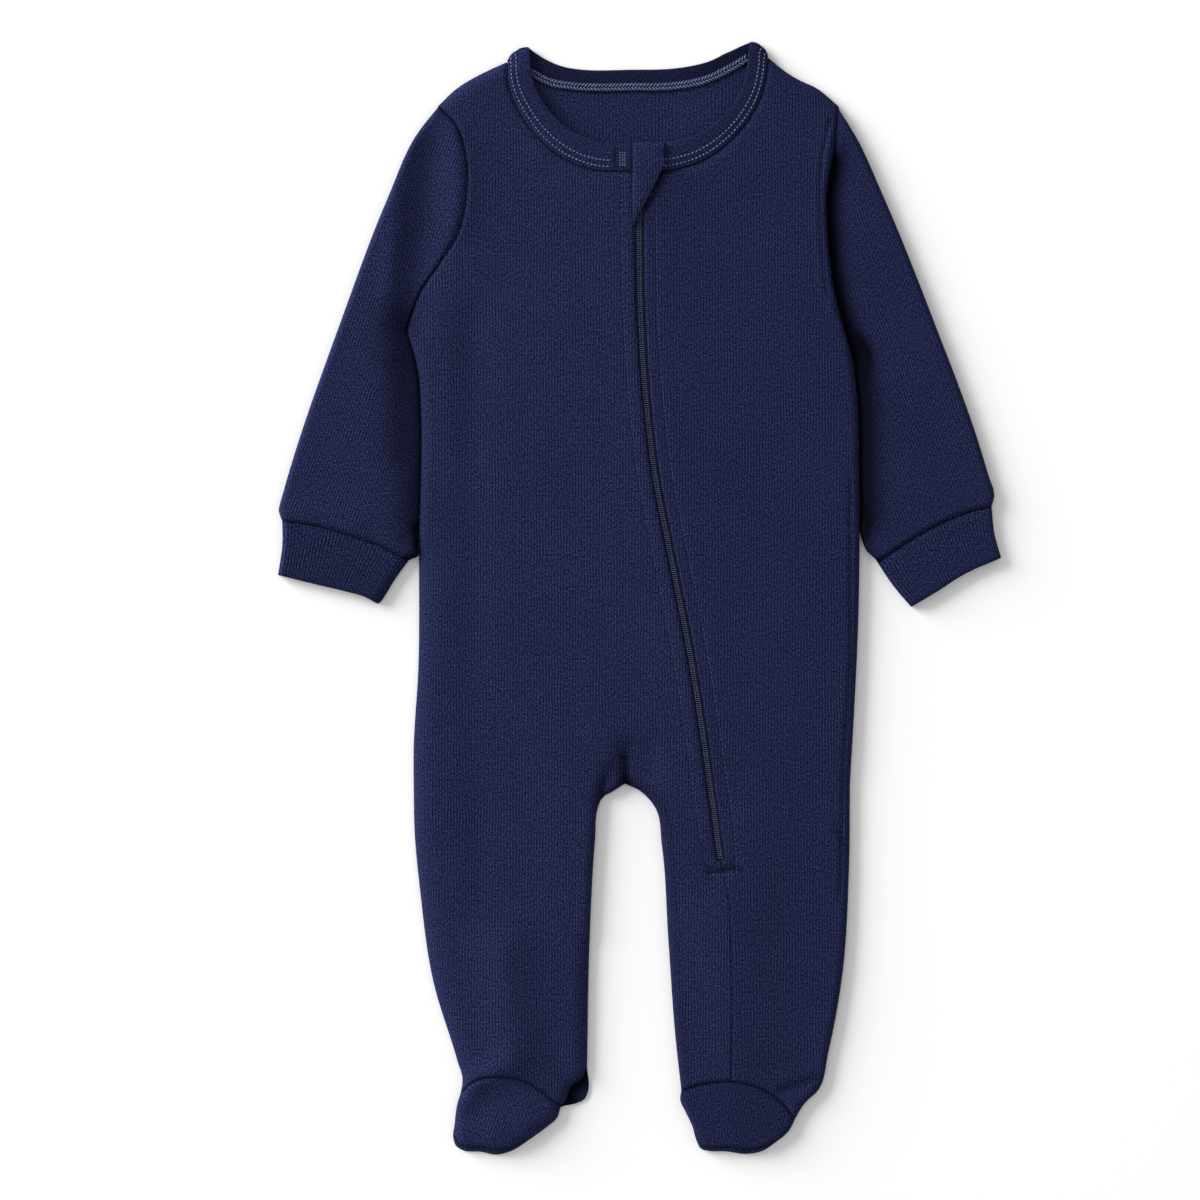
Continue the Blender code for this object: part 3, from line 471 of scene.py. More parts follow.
TOPSTITCH = 6.7  # distance of the topstitching from the zip's edges
TOPSTITCH_END = -149.0
stitch_lines = [zip_edge(side, TOPSTITCH) for side in (-1, 1)]
stitch_lines = [line[line[:, 1] > TOPSTITCH_END] for line in stitch_lines]
stitch_box = np.array([line[-1] for line in stitch_lines])

side_right, gap_right = curve(SIDE_R, 80), curve(GAP_R, 50)
leg_seam, slot_edge = curve(LEG_SEAM, 40), zip_edge(-1)
# The folded edges of the body: paths, distance over which they round down, painted shade beside
# them
EDGES = [
    ([side_right[side_right[:, 1] > 25]], 7.0, 0.15),
    ([side_right[side_right[:, 1] < 26], curve(LEG_R, 50)], 13.0, 0.0),
    ([curve(TOE_R, 50), curve(HEEL_R, 20)], 8.0, 0.0),
    ([curve(GAP_L, 50)], 5.0, 0.38),
    ([gap_right[gap_right[:, 1] < -184]], 10.0, 0.0),
    ([gap_right[gap_right[:, 1] > -188], curve(TOE_L, 50), curve(LEG_L, 50), curve(SIDE_L, 50)],
     4.5, 0.0),
    ([curve(SHOULDER_R, 16), curve(SHOULDER_L, 16), curve(SLEEVE_R, 50), curve(SLEEVE_L, 50)],
     9.0, 0.0),
]
# Depth of dip at which the painted shade is full
FULL_SHADE_DIP = 2.6  # dip at which the cloth counts as deep in a crease
# Dips of the cloth along seams and stitching: paths, half width, depth; each dip is also painted
# as shade
SEAM_DIPS = [
    ([curve(ARMHOLE_R, 60), curve(ARMHOLE_L, 60)], 1.0, 1.2),
    ([curve(NECK_R, 60), curve(NECK_L, 60)], 1.6, 1.2),
    ([curve(TOE_SEAM_R, 30), curve(TOE_SEAM_INNER_L, 20),
      curve(TOE_SEAM_OUTER_L, 20), curve(HEEL_R, 20)], 1.0, 1.1),
    ([leg_seam], 0.8, 0.12),
    ([leg_seam[leg_seam[:, 1] < -222]], 0.8, 0.25),
    ([slot_edge[slot_edge[:, 1] > SLOT_END]], 1.0, 0.35),
    (stitch_lines + [stitch_box], 0.7, 0.3),
]


def top_form(plan, edges=EDGES, foot=FOOT, loft=LOFT, sunk=()):
    """Height of the top cloth, its painted shade from 0 to 1, and its place laid flat. The
    height is a quarter-round rise from the folded edges, plus folds and drift, less the dips
    at seams. The painted shade is the sum of dips, narrow troughs and nearness to edges that
    lie in shadow. The flat place is the plan point moved outwards by the drop of the cloth there."""
    steps = [step_to(plan, paths) for paths, _, _ in edges]
    away = [np.linalg.norm(step, axis=-1) for step in steps]
    rises = np.array([roundness(far / roll) for far, (_, roll, _) in zip(away, edges)])
    rise, lowest = rises.min(axis=0), rises.argmin(axis=0)[None, ..., None]
    outwards = np.take_along_axis(np.array(steps), lowest, axis=0)[0]
    outwards /= np.maximum(np.linalg.norm(outwards, axis=-1, keepdims=True), 0.001)
    # Painted shade beside edges that lie in shadow, as much as each group gives
    edge_shade = sum(shade * np.exp(-(far / (0.95 * roll)) ** 3.2)
                  for far, (_, roll, shade) in zip(away, edges))
    dip = sum(depth * bell(plan, paths, half) for paths, half, depth in (*SEAM_DIPS, *sunk))
    folds = [lift * bell(plan, [np.array(path, float)], half) for path, half, lift in FOLDS]
    # Narrow troughs are painted in shade as well
    trough_shade = sum(np.clip(-fold, 0, None) * min(1, 2 / half)
                for fold, (_, half, _) in zip(folds, FOLDS))
    full = loft + drift(plan) + sum(folds) - dip - foot
    laid = plan + (full * (1 - rise))[..., None] * outwards
    return foot + full * rise, np.clip((dip + trough_shade) / FULL_SHADE_DIP + edge_shade, 0, 1), laid


def raised(grid, **settings):
    """A plan grid on the top cloth, and its weave, laid flat, with its painted shade. A
    point right on a folded edge has no way outwards, so it moves as its neighbour does."""
    height, crease_shade, laid = top_form(grid, **settings)
    pull = laid - grid
    for edge, beside in ((0, 1), (-1, -2)):
        still = np.abs(pull[:, edge]).max(axis=-1, keepdims=True) < 0.001
        pull[:, edge] += still * pull[:, beside] * 1.1
    return flat(grid, height), flat(grid + pull, crease_shade)


def split_at(path, height):
    """A path that runs down, cut in two at a height."""
    x = np.interp(-height, -path[:, 1], path[:, 0])
    above, below = path[path[:, 1] > height], path[path[:, 1] < height]
    return np.r_[above, [(x, height)]], np.r_[[(x, height)], below]


BODY, BESIDE_NECK, LEG = 170, 40, 90  # rows of the fronts' grids
WIDE, NARROW = 58, 40  # columns
LEFT_MIDDLE = (72, CROTCH[1])  # where the left front's grids meet
lower = BODY - BESIDE_NECK
CROWDING = 0.84  # share of the rows from which those of the right front crowd at the crotch
rolled = np.clip((np.linspace(0, 1, BODY + 1) - CROWDING) / (1 - CROWDING), 0, 1) ** 2


def side_rows(armhole, side):
    """Rows of a front's side, and where they roll over: below the armhole."""
    path = join(curve(armhole, 60), curve(side, 90))
    share = length(armhole) / length(path)
    return rows_of(path, BODY, 1, 1), np.clip((cuts(BODY, 1, 1) - share + 0.06) / 0.06, 0, 1)


neck = curve(NECK_R, 121)
above, below = split_at(zip_edge(-1), CROTCH[1])
side, arm = side_rows(ARMHOLE_R, SIDE_R)
centre = rows_of([neck[60], CROTCH], lower, 0, 1)
beside = join(rows_of(neck[:61], BESIDE_NECK, 1, 0), centre)
leg = between(rows_of(LEG_R, LEG), rows_of(GAP_R, LEG), WIDE, 1, 1)
calf = between(rows_of(GAP_L, LEG), rows_of(below, LEG), NARROW, 1, 0)
grids = [
    bend(between(side, beside, WIDE, arm, rolled), curve(SHOULDER_R, 60)[::-1], 40, 0),
    bend(between(centre, rows_of(above, lower, 0, 1), NARROW, rolled[BESIDE_NECK:], 0),
         neck[60:], 130, 0),
    bend(leg, join(curve(TOE_SEAM_R, 60), curve(HEEL_R, 30)), 45, -1),
    bend(calf, curve(TOE_SEAM_INNER_L, 40), 45, -1)]
front_right = piece("front_panel_right", weld(*zip(*map(raised, grids))),
                    knit("front_right_rib_knit"), node="front_right", wall=CLOTH)

neck = curve(NECK_L, 121)
above, below = split_at(zip_edge(1), CROTCH[1])
side, arm = side_rows(ARMHOLE_L, SIDE_L)
toe = curve(TOE_SEAM_OUTER_L, 81)
centre = rows_of([neck[60], LEFT_MIDDLE], lower, 0, 1)
beside = join(rows_of(neck[60:][::-1], BESIDE_NECK, 1, 0), centre)
shin = rows_of([LEFT_MIDDLE, toe[40]], LEG)
grids = [
    bend(between(rows_of(above, lower, 0, 1), centre, NARROW), neck[:61], 130, 0),
    bend(between(beside, side, NARROW, 0, arm), curve(SHOULDER_L, 60)[::-1], 40, 0),
    bend(between(rows_of(below, LEG), shin, NARROW), toe[:41], 45, -1),
    bend(between(shin, rows_of(LEG_L, LEG), NARROW, 0, 1), toe[40:], 45, -1)]
# The left front takes a darker copy of the knit's colour: painted shade
front_left = piece("front_panel_left", weld(*zip(*map(raised, grids))),
                   knit("front_left_rib_knit", light=NAVY_SHADED), node="front_left",
                   wall=CLOTH)

# --- Sleeves ----------------------------------------------------------------------------------
# Each sleeve is one piece of the knit, its edges sewn under the arm, set into the armhole. Its
# ribs run along the arm. It lies flat, its inner side pressed against the body.

TUBE_FOOT = 0.9  # height where the top of a sleeve or cuff turns round into its underside
TUCK = 0.9  # how far a sleeve or cuff goes in under the cloth that it is sewn to
SLACK = 6.0  # widest space between the armhole and the next row of the sleeve's cloth
CUFF_LOFT = 5.4

ARMS = {
    "right": dict(
        outer=SLEEVE_R, side=SIDE_R, hole=ARMHOLE_R, shoulder=SHOULDER_R, way=1, light=NAVY_LIGHT,
        roll=17.0, shade=0.5, sunk=(7.5, 0.0),
        elbow=[(-118.9, 31.5), (-118.8, 23.6), (-124.4, 20.4)],
        seam=[(-193, 42), (-175, 39.5), (-155.5, 34), (-141, 29), (-124.5, 20.5)],
        hem=[(-195.1, 12.7), (-175, 7.7), (-158.5, 3.8), (-146.6, 0.1), (-143.6, -1.7),
             (-141.3, -2.9)],
        cuff=([(-193, 42), (-192.8, 30), (-195.1, 13)],
              [(-124.5, 20.5), (-132.5, 9.5), (-138, 0.6), (-139.5, -1.6), (-141.3, -2.9)])),
    # The left sleeve takes a darker copy of the knit's colour: painted shade
    "left": dict(
        outer=SLEEVE_L, side=SIDE_L, hole=ARMHOLE_L, shoulder=SHOULDER_L, way=-1,
        light=NAVY_SHADED, roll=12.0, shade=1.0, sunk=(9.0, 3.0),
        elbow=[(118.9, 35.5), (121.8, 26.8), (126, 20.7)],
        seam=[(190, 50), (175, 46), (156, 37.5), (138, 26.5), (128, 20)],
        hem=[(195.1, 22), (174, 12.5), (160, 3.5), (146.5, -4.5)],
        cuff=([(190, 50), (191.5, 35), (195.1, 22)], [(128, 20), (137.5, 6), (146.5, -4.5)])),
}
for arm in ARMS.values():
    # The inner edge runs along the body's side with a gap, then round the elbow to the cuff
    along = aside(curve(arm["side"], 90), -arm["way"] * 0.1)
    arm["inner"] = np.r_[along[along[:, 1] > arm["elbow"][0][1] + 6.0], arm["elbow"]]
    outer = np.r_[curve(arm["outer"], 50), curve(arm["cuff"][0], 12)]
    inner = np.r_[curve(arm["inner"], 60), curve(arm["cuff"][1], 12)]
    # Edge groups: paths, distance over which they round down, painted shade; the inner side along
    # the body is painted darkest
    arm["edges"] = [([outer, curve(arm["shoulder"], 16)], 3.5, 0.0),
                    ([arm["inner"][-4:]], 4.5, 0.6),
                    ([arm["inner"][:-3]], arm["roll"], arm["shade"])]
    arm["cuff_edges"] = [([outer], 3.5, 0.0), ([inner], 6.0, 0.25)]
    SEAM_DIPS.append(([curve(arm["seam"], 40)], 1.2, 1.0))


def keep_off_body(grid, arm):
    """The rows below the armhole pushed off the body, further the further from the fold."""
    outline, out = join(curve(arm["hole"], 80), curve(arm["side"], 80)), -arm["way"]
    limit = np.interp(-grid[1:, :, 1], -outline[:, 1], outline[:, 0])
    share = np.linspace(0, 1, len(grid) - 1)[:, None] ** 0.3
    slack = np.minimum(np.linalg.norm(grid[1:] - grid[1:, -1:], axis=-1) / 4, SLACK * share)
    pushed = grid.copy()
    pushed[1:, :, 0] = out * np.maximum(out * grid[1:, :, 0], out * limit + 0.1 + slack)
    return pushed


def tube(grid, edges, loft, sewn, relief=0.0, sunk=()):
    """Points round a flattened tube: over the top cloth, then back under it near the floor,
    the underside curling up at its two folds as an ellipse. The top dips in under the cloth
    it is sewn to, and is painted in shade there."""
    top, weave = raised(grid, edges=edges, foot=TUBE_FOOT, loft=loft, sunk=sunk)
    tuck = np.clip(1.4 - away_from(grid, [sewn]) / TUCK, 0, 1)
    top[..., 2] = np.maximum(top[..., 2] + relief - CLOTH * tuck, TUBE_FOOT)
    under = top[:, ::-1].copy()
    away = np.min([away_from(grid[:, ::-1], paths) for paths, _, _ in edges], axis=0)
    under[..., 2] = TUBE_FOOT * (1 - roundness(away / 1.6))
    # Painted shade where the top goes in under the cloth it is sewn to
    weave[..., 2] = np.maximum(weave[..., 2], tuck)
    return (np.concatenate([top, under[:, 1:]], axis=1),
            np.concatenate([weave, weave[:, -2::-1]], axis=1))


for name, arm in ARMS.items():
    way = arm["way"]
    grid = between(rows_of(arm["outer"], 120, 0, 1), rows_of(arm["inner"], 120, 0, 1), 64, 1, 1)
    along = np.linspace(0.6, length(arm["hole"]), 120)
    hole = aside(curve(arm["hole"], distances=along), way * TUCK)
    grid = bend(keep_off_body(bend(grid, hole, 30, 0), arm), hole, 3, 0)
    # The inner points from the third row on relax to the mean of their four neighbours
    for _ in range(4):
        mean = (grid[:-2, 1:-1] + grid[2:, 1:-1] + grid[1:-1, :-2] + grid[1:-1, 2:]) / 4
        grid[2:-1, 1:-1] = mean[1:]
    grid = bend(grid, curve(arm["seam"], 80), 14, -1)
    rings, weave = tube(grid, arm["edges"], LOFT, hole,
                        sunk=[([curve(arm["hole"], 60)[14:]], *arm["sunk"])])
    # The ribs run along the arm: the weave is turned to its line
    weave[..., :2] = weave[..., :2] @ [(0.939, -0.345 * way), (-0.345 * way, -0.939)]
    sleeve = piece(f"sleeve_{name}_cloth", weld([rings], [weave], way),
                   knit(f"sleeve_{name}_rib_knit", light=arm["light"]),
                   node=f"sleeve_{name}", wall=CLOTH)

# --- Cuffs ------------------------------------------------------------------------------------
# Tubes of one by one rib, doubled, drawn in a little where they are sewn to the sleeves.

RIBS = 36  # ribs across the top of a cuff
RIB_RISE = 0.4  # how far a rib stands over the groove beside it
CUFF_SAMPLES = 8  # columns to a rib
CUFF_ROWS = 25
CUFF_LENGTH = 30

for name, arm in ARMS.items():
    outer, inner = (curve(edge, CUFF_ROWS) for edge in arm["cuff"])
    share = np.linspace(0, 1, RIBS * CUFF_SAMPLES + 1)
    grid = outer[:, None] + (inner - outer)[:, None] * share[:, None]
    seam = aside(curve(arm["seam"], 120), arm["way"] * TUCK)
    grid = bend(bend(grid, seam, 20, 0), curve(arm["hem"], 120), 20, -1)
    ribs = RIB_RISE * (0.5 - 0.5 * np.cos(2 * np.pi * RIBS * share)) ** 0.7 - RIB_RISE / 2
    rings, weave = tube(grid, arm["cuff_edges"], CUFF_LOFT, seam,
                        ribs * np.minimum(1, 20 * share * (1 - share)))
    hem = np.linspace(1, 0, CUFF_ROWS)[:, None] * CUFF_LENGTH
    rings[..., 2] *= np.clip(0.86 + np.minimum(hem, 2.0) * 0.07, 0, 1)
    weave[..., 0] = np.r_[share, 2 - share[-2::-1]] * RIBS * INSIDE_PITCH / MM
    weave[..., 1] = np.linspace(0, CUFF_LENGTH - 1, CUFF_ROWS)[:, None]
    cuff = piece(f"cuff_{name}_rib", weld([rings], [weave], arm["way"]),
                 knit(f"cuff_{name}_one_by_one_rib", pitch=INSIDE_PITCH, rib_share=0.7),
                 node=f"cuff_{name}", wall=CLOTH)

# --- Feet -------------------------------------------------------------------------------------
# Each foot is closed by a toe cap, sewn in an arch to the leg, and a flat sole whose edge turns
# up round the toes in front of the cap.

FEET = {
    "right": dict(
        toe=TOE_R, seam=TOE_SEAM_R, lip=(0.24, 0.72), lean=-0.35, light=NAVY_LIGHT,
        heel=[(-28.4, -253), (-27.9, -266), (-29.8, -270.2), (-34, -272.3), (-42.5, -274)]),
    # The left foot's toe cap takes a still darker copy of the colour: painted shade
    "left": dict(toe=TOE_L, seam=TOE_SEAM_INNER_L[:-1] + TOE_SEAM_OUTER_L, lip=(0.3, 0.86),
                 lean=0.2, light=NAVY_DARKER_SHADED, heel=[]),
}
SOLE_LIP = 3.0  # widest part of the sole's edge that turns up round the toes
SOLE_ROWS = 25

for name, foot in FEET.items():
    # The toes' outline between the ends of the sole's lip, and the seam inside it
    toe, (start, end) = foot["toe"], foot["lip"]
    share = np.linspace(0, 1, 65)
    rim = curve(toe, shares=start + (end - start) * share)
    width = 0.5 + (SOLE_LIP - 0.5) * np.sin(np.pi * share) ** 0.6
    seam = aside(rim, width[:, None])
    SEAM_DIPS.append(([seam], 0.8, 2.4))
    grid = between(curve(toe, shares=np.linspace(0, start, 41)),
                   curve(toe, shares=np.linspace(1, end, 41)), 64, 1, 1)
    grid = bend(grid, aside(curve(foot["seam"], 90), -SEAM), 24, 0)
    top, weave = raised(bend(grid, aside(seam, SEAM), 16, -1))
    cosine, sine = np.cos(foot["lean"]), np.sin(foot["lean"])
    weave[..., :2] = weave[..., :2] @ [(cosine, -sine), (sine, cosine)]
    toe_cap = piece(f"toe_cap_{name}_cloth", weld([top], [weave]),
                    knit(f"toe_cap_{name}_rib_knit", light=foot["light"]),
                    node=f"toe_cap_{name}", wall=CLOTH)

    # The sole flat on the floor, out to the heel, then its lip round the toes
    far = curve(toe, shares=np.linspace(1, end, SOLE_ROWS))
    if foot["heel"]:
        far = curve(join(curve(foot["heel"], 20), far), SOLE_ROWS)
    grid = between(curve(toe, shares=start * np.linspace(0, 1, SOLE_ROWS) ** 1.5), far, 64)
    grid[:, :, 1] -= SEAM * np.linspace(1, 0, SOLE_ROWS)[:, None]
    turn = np.linspace(0, 1, 9)[1:, None, None]
    lip = rim + (seam - rim) * turn**1.6
    height = top_form(seam)[0][:, None] * np.sin(turn * np.pi / 2)
    rings = np.r_[flat(bend(grid, rim, 18, -1), 0.0), np.concatenate([lip, height], axis=2)]
    weave = rings + [0, 1, 0] * rings[..., 2:]
    # Painted shade over the sole by the heel, where it lies in the leg's shadow
    weave[..., 2] = bell(weave[..., :2], [curve(HEEL_R, 20)], 8.0)
    sole = piece(f"sole_{name}_cloth", weld([rings], [weave], -1), knit(f"sole_{name}_rib_knit"),
                 node=f"sole_{name}", wall=CLOTH)

# --- Neckband ---------------------------------------------------------------------------------
# A folded strip of the same knit round the neck, open at the zip. It lies on the top cloth in
# front, turns over at each shoulder and lies under it along the back. Two rows of light
# coverstitch run along its seam.

BAND_R = [(-60, 297.5), (-56.5, 276), (-42, 256), (-20.5, 245.5), (-3.4, 245)]
BAND_L = [(2.4, 245), (13.5, 245.5), (34.5, 252), (53.5, 271.5), (60, 300.4)]
BAND_BACK = [(-60, 297.5), (-45.5, 288), (-36.5, 286), (-3.5, 285.5), (18.5, 286), (43, 292),
             (53.5, 299), (60, 300.4)]
BAND_HALF = 0.85  # half thickness of the folded band
BAND_LOW = 4.0  # lowest middle height of the band's front
BAND_CREASE = -13.4  # where the band is folded back beside the zip
COVERSTITCH = (2.4, 5.8)  # distances of the two rows from the seam
COVERED = 88  # stations from each end of the band that the rows run along
AROUND = 28  # points round the band's profile
FOLD_PUFF = 2.6  # how far the band's middle bulges where it turns over at a shoulder
STITCH_RINGS, STITCH_AROUND = 5, 6
FINE_RELIEF = 0.0001


def fold_stations(seam, edge, inward):
    """The neckband turning over at a shoulder: seam points, edge points, heights and bulge of
    its middle, round half a circle."""
    radius = (BAND_LOW - BAND_HALF) / 2
    turn = np.radians(np.linspace(-90, 90, 15))
    shift = (BAND_HALF + radius * (1 - np.cos(turn)))[:, None] * np.array(inward)
    puff = -FOLD_PUFF * np.cos(turn)[:, None] * np.array(inward)
    return (np.array(seam) + 0.5 * shift, np.array(edge) + shift,
            BAND_HALF + radius * (1 - np.sin(turn)), puff)


def eased(path, width):
    """A path smoothed by a running mean over a number of points."""
    spread = np.ones(width) / width
    padded = np.pad(path, ((width // 2,) * 2, (0, 0)), mode="edge")
    return np.stack([np.convolve(column, spread, mode="valid") for column in padded.T], axis=1)


def round_band(parts, k):
    """Values along the whole band: those of its three lying parts, right front, back and left
    front, with column k of the turns at the shoulders between them."""
    return np.concatenate([parts[0], turn_r[k], parts[1], turn_l[k][::-1], parts[2]])


front, rear = np.linspace(0, 0.93, 80), np.linspace(0.07, 0.93, 70)
seams, tips = zip(*[
    (aside(curve(seam, shares=share), gap), curve(edge, shares=share))
    for seam, edge, share, gap in ((NECK_R[::-1], BAND_R[::-1], front, 0.5),
                                   (NECK_BACK, BAND_BACK, rear, 0.1),
                                   (NECK_L[::-1], BAND_L[::-1], 1 - front[::-1], 0.5))])
levels = [np.maximum(LOFT - BAND_HALF + drift(seam) * 0.6, BAND_LOW) for seam in seams]
levels[1] = np.full(len(rear), BAND_HALF)
turn_r = fold_stations(NECK_R[0], BAND_R[0], (0.58, -0.81))
turn_l = fold_stations(NECK_L[-1], BAND_L[-1], (-0.70, -0.71))
level = round_band(levels, 2)
root = eased(np.c_[round_band(seams, 0), level], 5)
tip = eased(np.c_[round_band(tips, 1), level], 11)
puff = eased(np.c_[round_band([0 * seam for seam in seams], 3), 0 * level], 9)
across = tip - root
band_width = np.linalg.norm(across, axis=1, keepdims=True)
across /= band_width
middle = (root + tip) / 2
out = unit(np.cross(across, np.gradient(middle, axis=0)))


def band_point(away, lift):
    """A point of the band at a distance from its seam, lifted off its middle layer."""
    share = away / band_width
    return root + across * away + out * lift + puff * (4 * share * (1 - share) + 0.25 * share)


def squared_ring(angle, broad, high):
    """Points round a squared ellipse: cosine and sine raised to powers, keeping their signs."""
    return [np.sign(wave) * np.abs(wave) ** power
            for wave, power in ((np.cos(angle), broad), (np.sin(angle), high))]


angle = np.linspace(0, 2 * np.pi, AROUND, endpoint=False) + np.pi / AROUND
rings = []
for reach, lift in zip(*squared_ring(angle, 0.45, 0.55)):
    away = (reach + 1) / 2 * band_width
    channel = sum(np.exp(-((away - row) / 0.55) ** 2) for row in COVERSTITCH)
    rings.append(band_point(away, lift * (BAND_HALF - 0.16 * channel)))
closed = np.stack([*rings, rings[0]], axis=1)
# Painted shade of the band: in its fold, where it lies under the shoulders, and to the left
fold_shade = np.exp(-((closed[..., 0] - BAND_CREASE) / 0.5) ** 2) * (closed[..., 1] < 250)
band_shade = 0.4 * np.clip((BAND_LOW - root[:, 2:]) / 2, 0, 1)
band_shade += 0.25 * np.clip(root[:, :1] / 30 - 0.6, 0, 1)
weave = stacked(runs(middle)[:, None], runs(closed[0]), fold_shade + band_shade)
# The band also takes a darker copy of the knit's colour: painted shade
band = piece("neckband_rib", weld([closed], [weave]),
             knit("neckband_rib_knit", rib_share=0.25, light=NAVY_SHADED), node="neckband")


def thread(name, colour):
    """Soft spun thread: a pale colour that varies from stitch to stitch, slightly fuzzy."""
    look, shader, flow = surface(name, 0.8, sheen=0.1)
    place = flow.make("ShaderNodeTexCoord", output=3)
    shade = place.noise(900.0).between(0.3, 0.7).tones(colour, 0.6, 1.25)
    return finish_surface(look, shader, shade, place.noise(4000.0), FINE_RELIEF)


def stitches(path, pitch, size, turn=0.0, start=0.0, up=(0.0, 0.0, 1.0)):
    """Points and faces of a row of stitches: each an ellipsoid of a length, width and height,
    set every pitch along the path and turned in the cloth by an angle."""
    run = runs(path)
    at = np.arange(start + pitch / 2, run[-1], pitch)
    place = read(path, run, at)
    ahead = unit(np.gradient(place, axis=0))
    sideways = unit(np.cross(read(np.broadcast_to(up, path.shape), run, at), ahead))
    over = np.cross(ahead, sideways)
    axes = np.stack([ahead * np.cos(turn) + sideways * np.sin(turn),
                     sideways * np.cos(turn) - ahead * np.sin(turn), over], axis=1)
    t = np.linspace(0.12, np.pi - 0.12, STITCH_RINGS)[:, None]
    s = np.linspace(0, 2 * np.pi, STITCH_AROUND, endpoint=False)
    ball = stacked(-np.cos(t), np.sin(t) * np.cos(s), np.sin(t) * np.sin(s)).reshape(-1, 3)
    points = place[:, None] + (ball * size / 2) @ axes
    k = np.arange(len(ball) - STITCH_AROUND)
    beside = k - k % STITCH_AROUND + (k + 1) % STITCH_AROUND
    quads = np.stack([k, beside, beside + STITCH_AROUND, k + STITCH_AROUND], axis=1)
    end = np.array([(0, 1, 2, 3), (0, 3, 4, 5)])
    faces = np.concatenate([quads, end[:, [0, 3, 2, 1]], end + len(k)])
    first = len(ball) * np.arange(len(at))[:, None, None]
    return points.reshape(-1, 3), (faces + first).reshape(-1, 4)


def stitched(name, rows, look, node=""):
    """One piece of several rows of stitches."""
    points, faces = zip(*rows)
    first = np.cumsum([0] + [len(each) for each in points])
    faces = np.concatenate([each + count for each, count in zip(faces, first)])
    piece(name, (np.concatenate(points), faces, None), look, node)


# Ends of the bars of dense stitches that lock the rows at the zip
BARTACK = [((-10.6, 240.6), (-10.4, 232.4)), ((-9.2, 240.9), (-9.0, 232.6)),
           ((-7.9, 240.7), (-7.8, 232.8))]
BARTACK_LEFT = -15.5  # where the rows end beside the bars
PALE_THREAD = (0.13, 0.15, 0.26)
rows = []
for stations in (slice(np.argmax(root[:, 0] < BARTACK_LEFT), COVERED),
                 slice(len(root) - COVERED, len(root))):
    for away in COVERSTITCH:
        path = band_point(away, BAND_HALF + 0.02)[stations]
        rows.append(stitches(path, 2.15, (1.35, 0.7, 0.5), up=out[stations]))
for top, bottom in BARTACK:
    path = np.linspace((*top, LOFT + 0.1), (*bottom, LOFT + 0.1), 12)
    rows.append(stitches(path, 1.35, (0.9, 0.6, 0.45), 0.9))
stitched("neckband_coverstitch", rows, thread("coverstitch_thread", PALE_THREAD))

# --- Back neck tape ---------------------------------------------------------------------------
# A chain-stitched tape in pale thread that covers the back neck seam inside: two rows of slanted
# stitches that meet in a herringbone, on a dark edge.

NECK_TAPE = [(-60, 284.5), (-47, 278.2), (-36.5, 276.5), (-3.5, 276), (18.5, 276.5), (35.5, 279.8),
             (50.4, 287), (58, 291.5)]
RIBBON_AROUND = 17  # points round a ribbon
TAPE_NAVY = (0.03, 0.038, 0.095, 1)
CHAIN_THREAD = (0.125, 0.145, 0.25)
tape_path = curve(NECK_TAPE, 160)


def ribbon(path, half, low, high):
    """Rings of a flat ribbon with rounded sides along a plan path, of one half width or a
    column of them."""
    side, lift = squared_ring(np.linspace(2 * np.pi, 0, RIBBON_AROUND), 0.5, 0.6)
    plan = path[:, None] + (aside(path, half) - path)[:, None] * side[:, None]
    return flat(plan, (low + high) / 2 + lift * (high - low) / 2)


rings = ribbon(tape_path, 2.3, 1.9, 2.6)
weave = stacked(runs(tape_path)[:, None], np.linspace(0, 9, RIBBON_AROUND))
piece("neck_tape_base", weld([rings], [weave]),
      knit("neck_tape_base_knit", rib_share=0.3, light=TAPE_NAVY),
      node="neck_tape")
rows = [stitches(np.c_[aside(tape_path, offset), np.full(160, 2.8)], 1.85, (2.8, 0.75, 0.7),
                 turn, start) for offset, turn, start in ((1.1, 0.7, 0.0), (-1.1, -0.7, 0.5))]
stitched("neck_tape_chain_stitch", rows, thread("chain_stitch_thread", CHAIN_THREAD))

# --- Zip --------------------------------------------------------------------------------------
# A nylon coil zip between two woven tapes under the fronts' folded edges, closed, topstitched
# on both sides and across its lower end. The slider and its pull lie under the guard.

COIL_PITCH = 1.14  # distance between two turns of the coil
COIL_LEVEL = 5.25  # height of the coil's middle
COIL_SINK = 0.5  # how far the coil sinks between the fronts towards its lower end
COIL_SHORT = 13.0  # how far the coil ends before the slot does
WARP = 0.0008  # distance between two threads of the tapes, m
# Stations of the slider's body and of its pull: y, half width
SLIDER = [(231, 0.1), (230.8, 2), (229.5, 2.7), (226, 2.8), (222.5, 1.9), (219.5, 1.7),
          (218.2, 1.1), (218, 0.1)]
PULL = [(228, 0.1), (227.8, 1), (226.5, 1.4), (216, 1.2), (211.5, 1.5), (209.8, 1.3), (209.5, 0.1)]
SLIDER_X = -0.6


def woven(name, colour):
    """Plain woven tape: crossed threads as a product of cosines on Object coordinates."""
    look, shader, flow = surface(name, 0.85)
    place = flow.make("ShaderNodeTexCoord", output=3)
    x, y = place.split()
    threads = (x * (1 / WARP)).wave() * (y * (1 / WARP)).wave()
    shade = (threads * 0.7 + place.noise(1200.0) * 0.4).tones(colour, 0.5, 1.5)
    return finish_surface(look, shader, shade, threads, FINE_RELIEF)


def enamel(name, colour):
    """Smooth enamel or nylon with a faint unevenness."""
    look, shader, flow = surface(name, 0.4)
    shader.inputs["Specular IOR Level"].default_value = 0.6
    speck = flow.make("ShaderNodeTexCoord", output=3).noise(700.0)
    return finish_surface(look, shader, speck.tones(colour, 0.7, 1.4), speck, 0.00004)


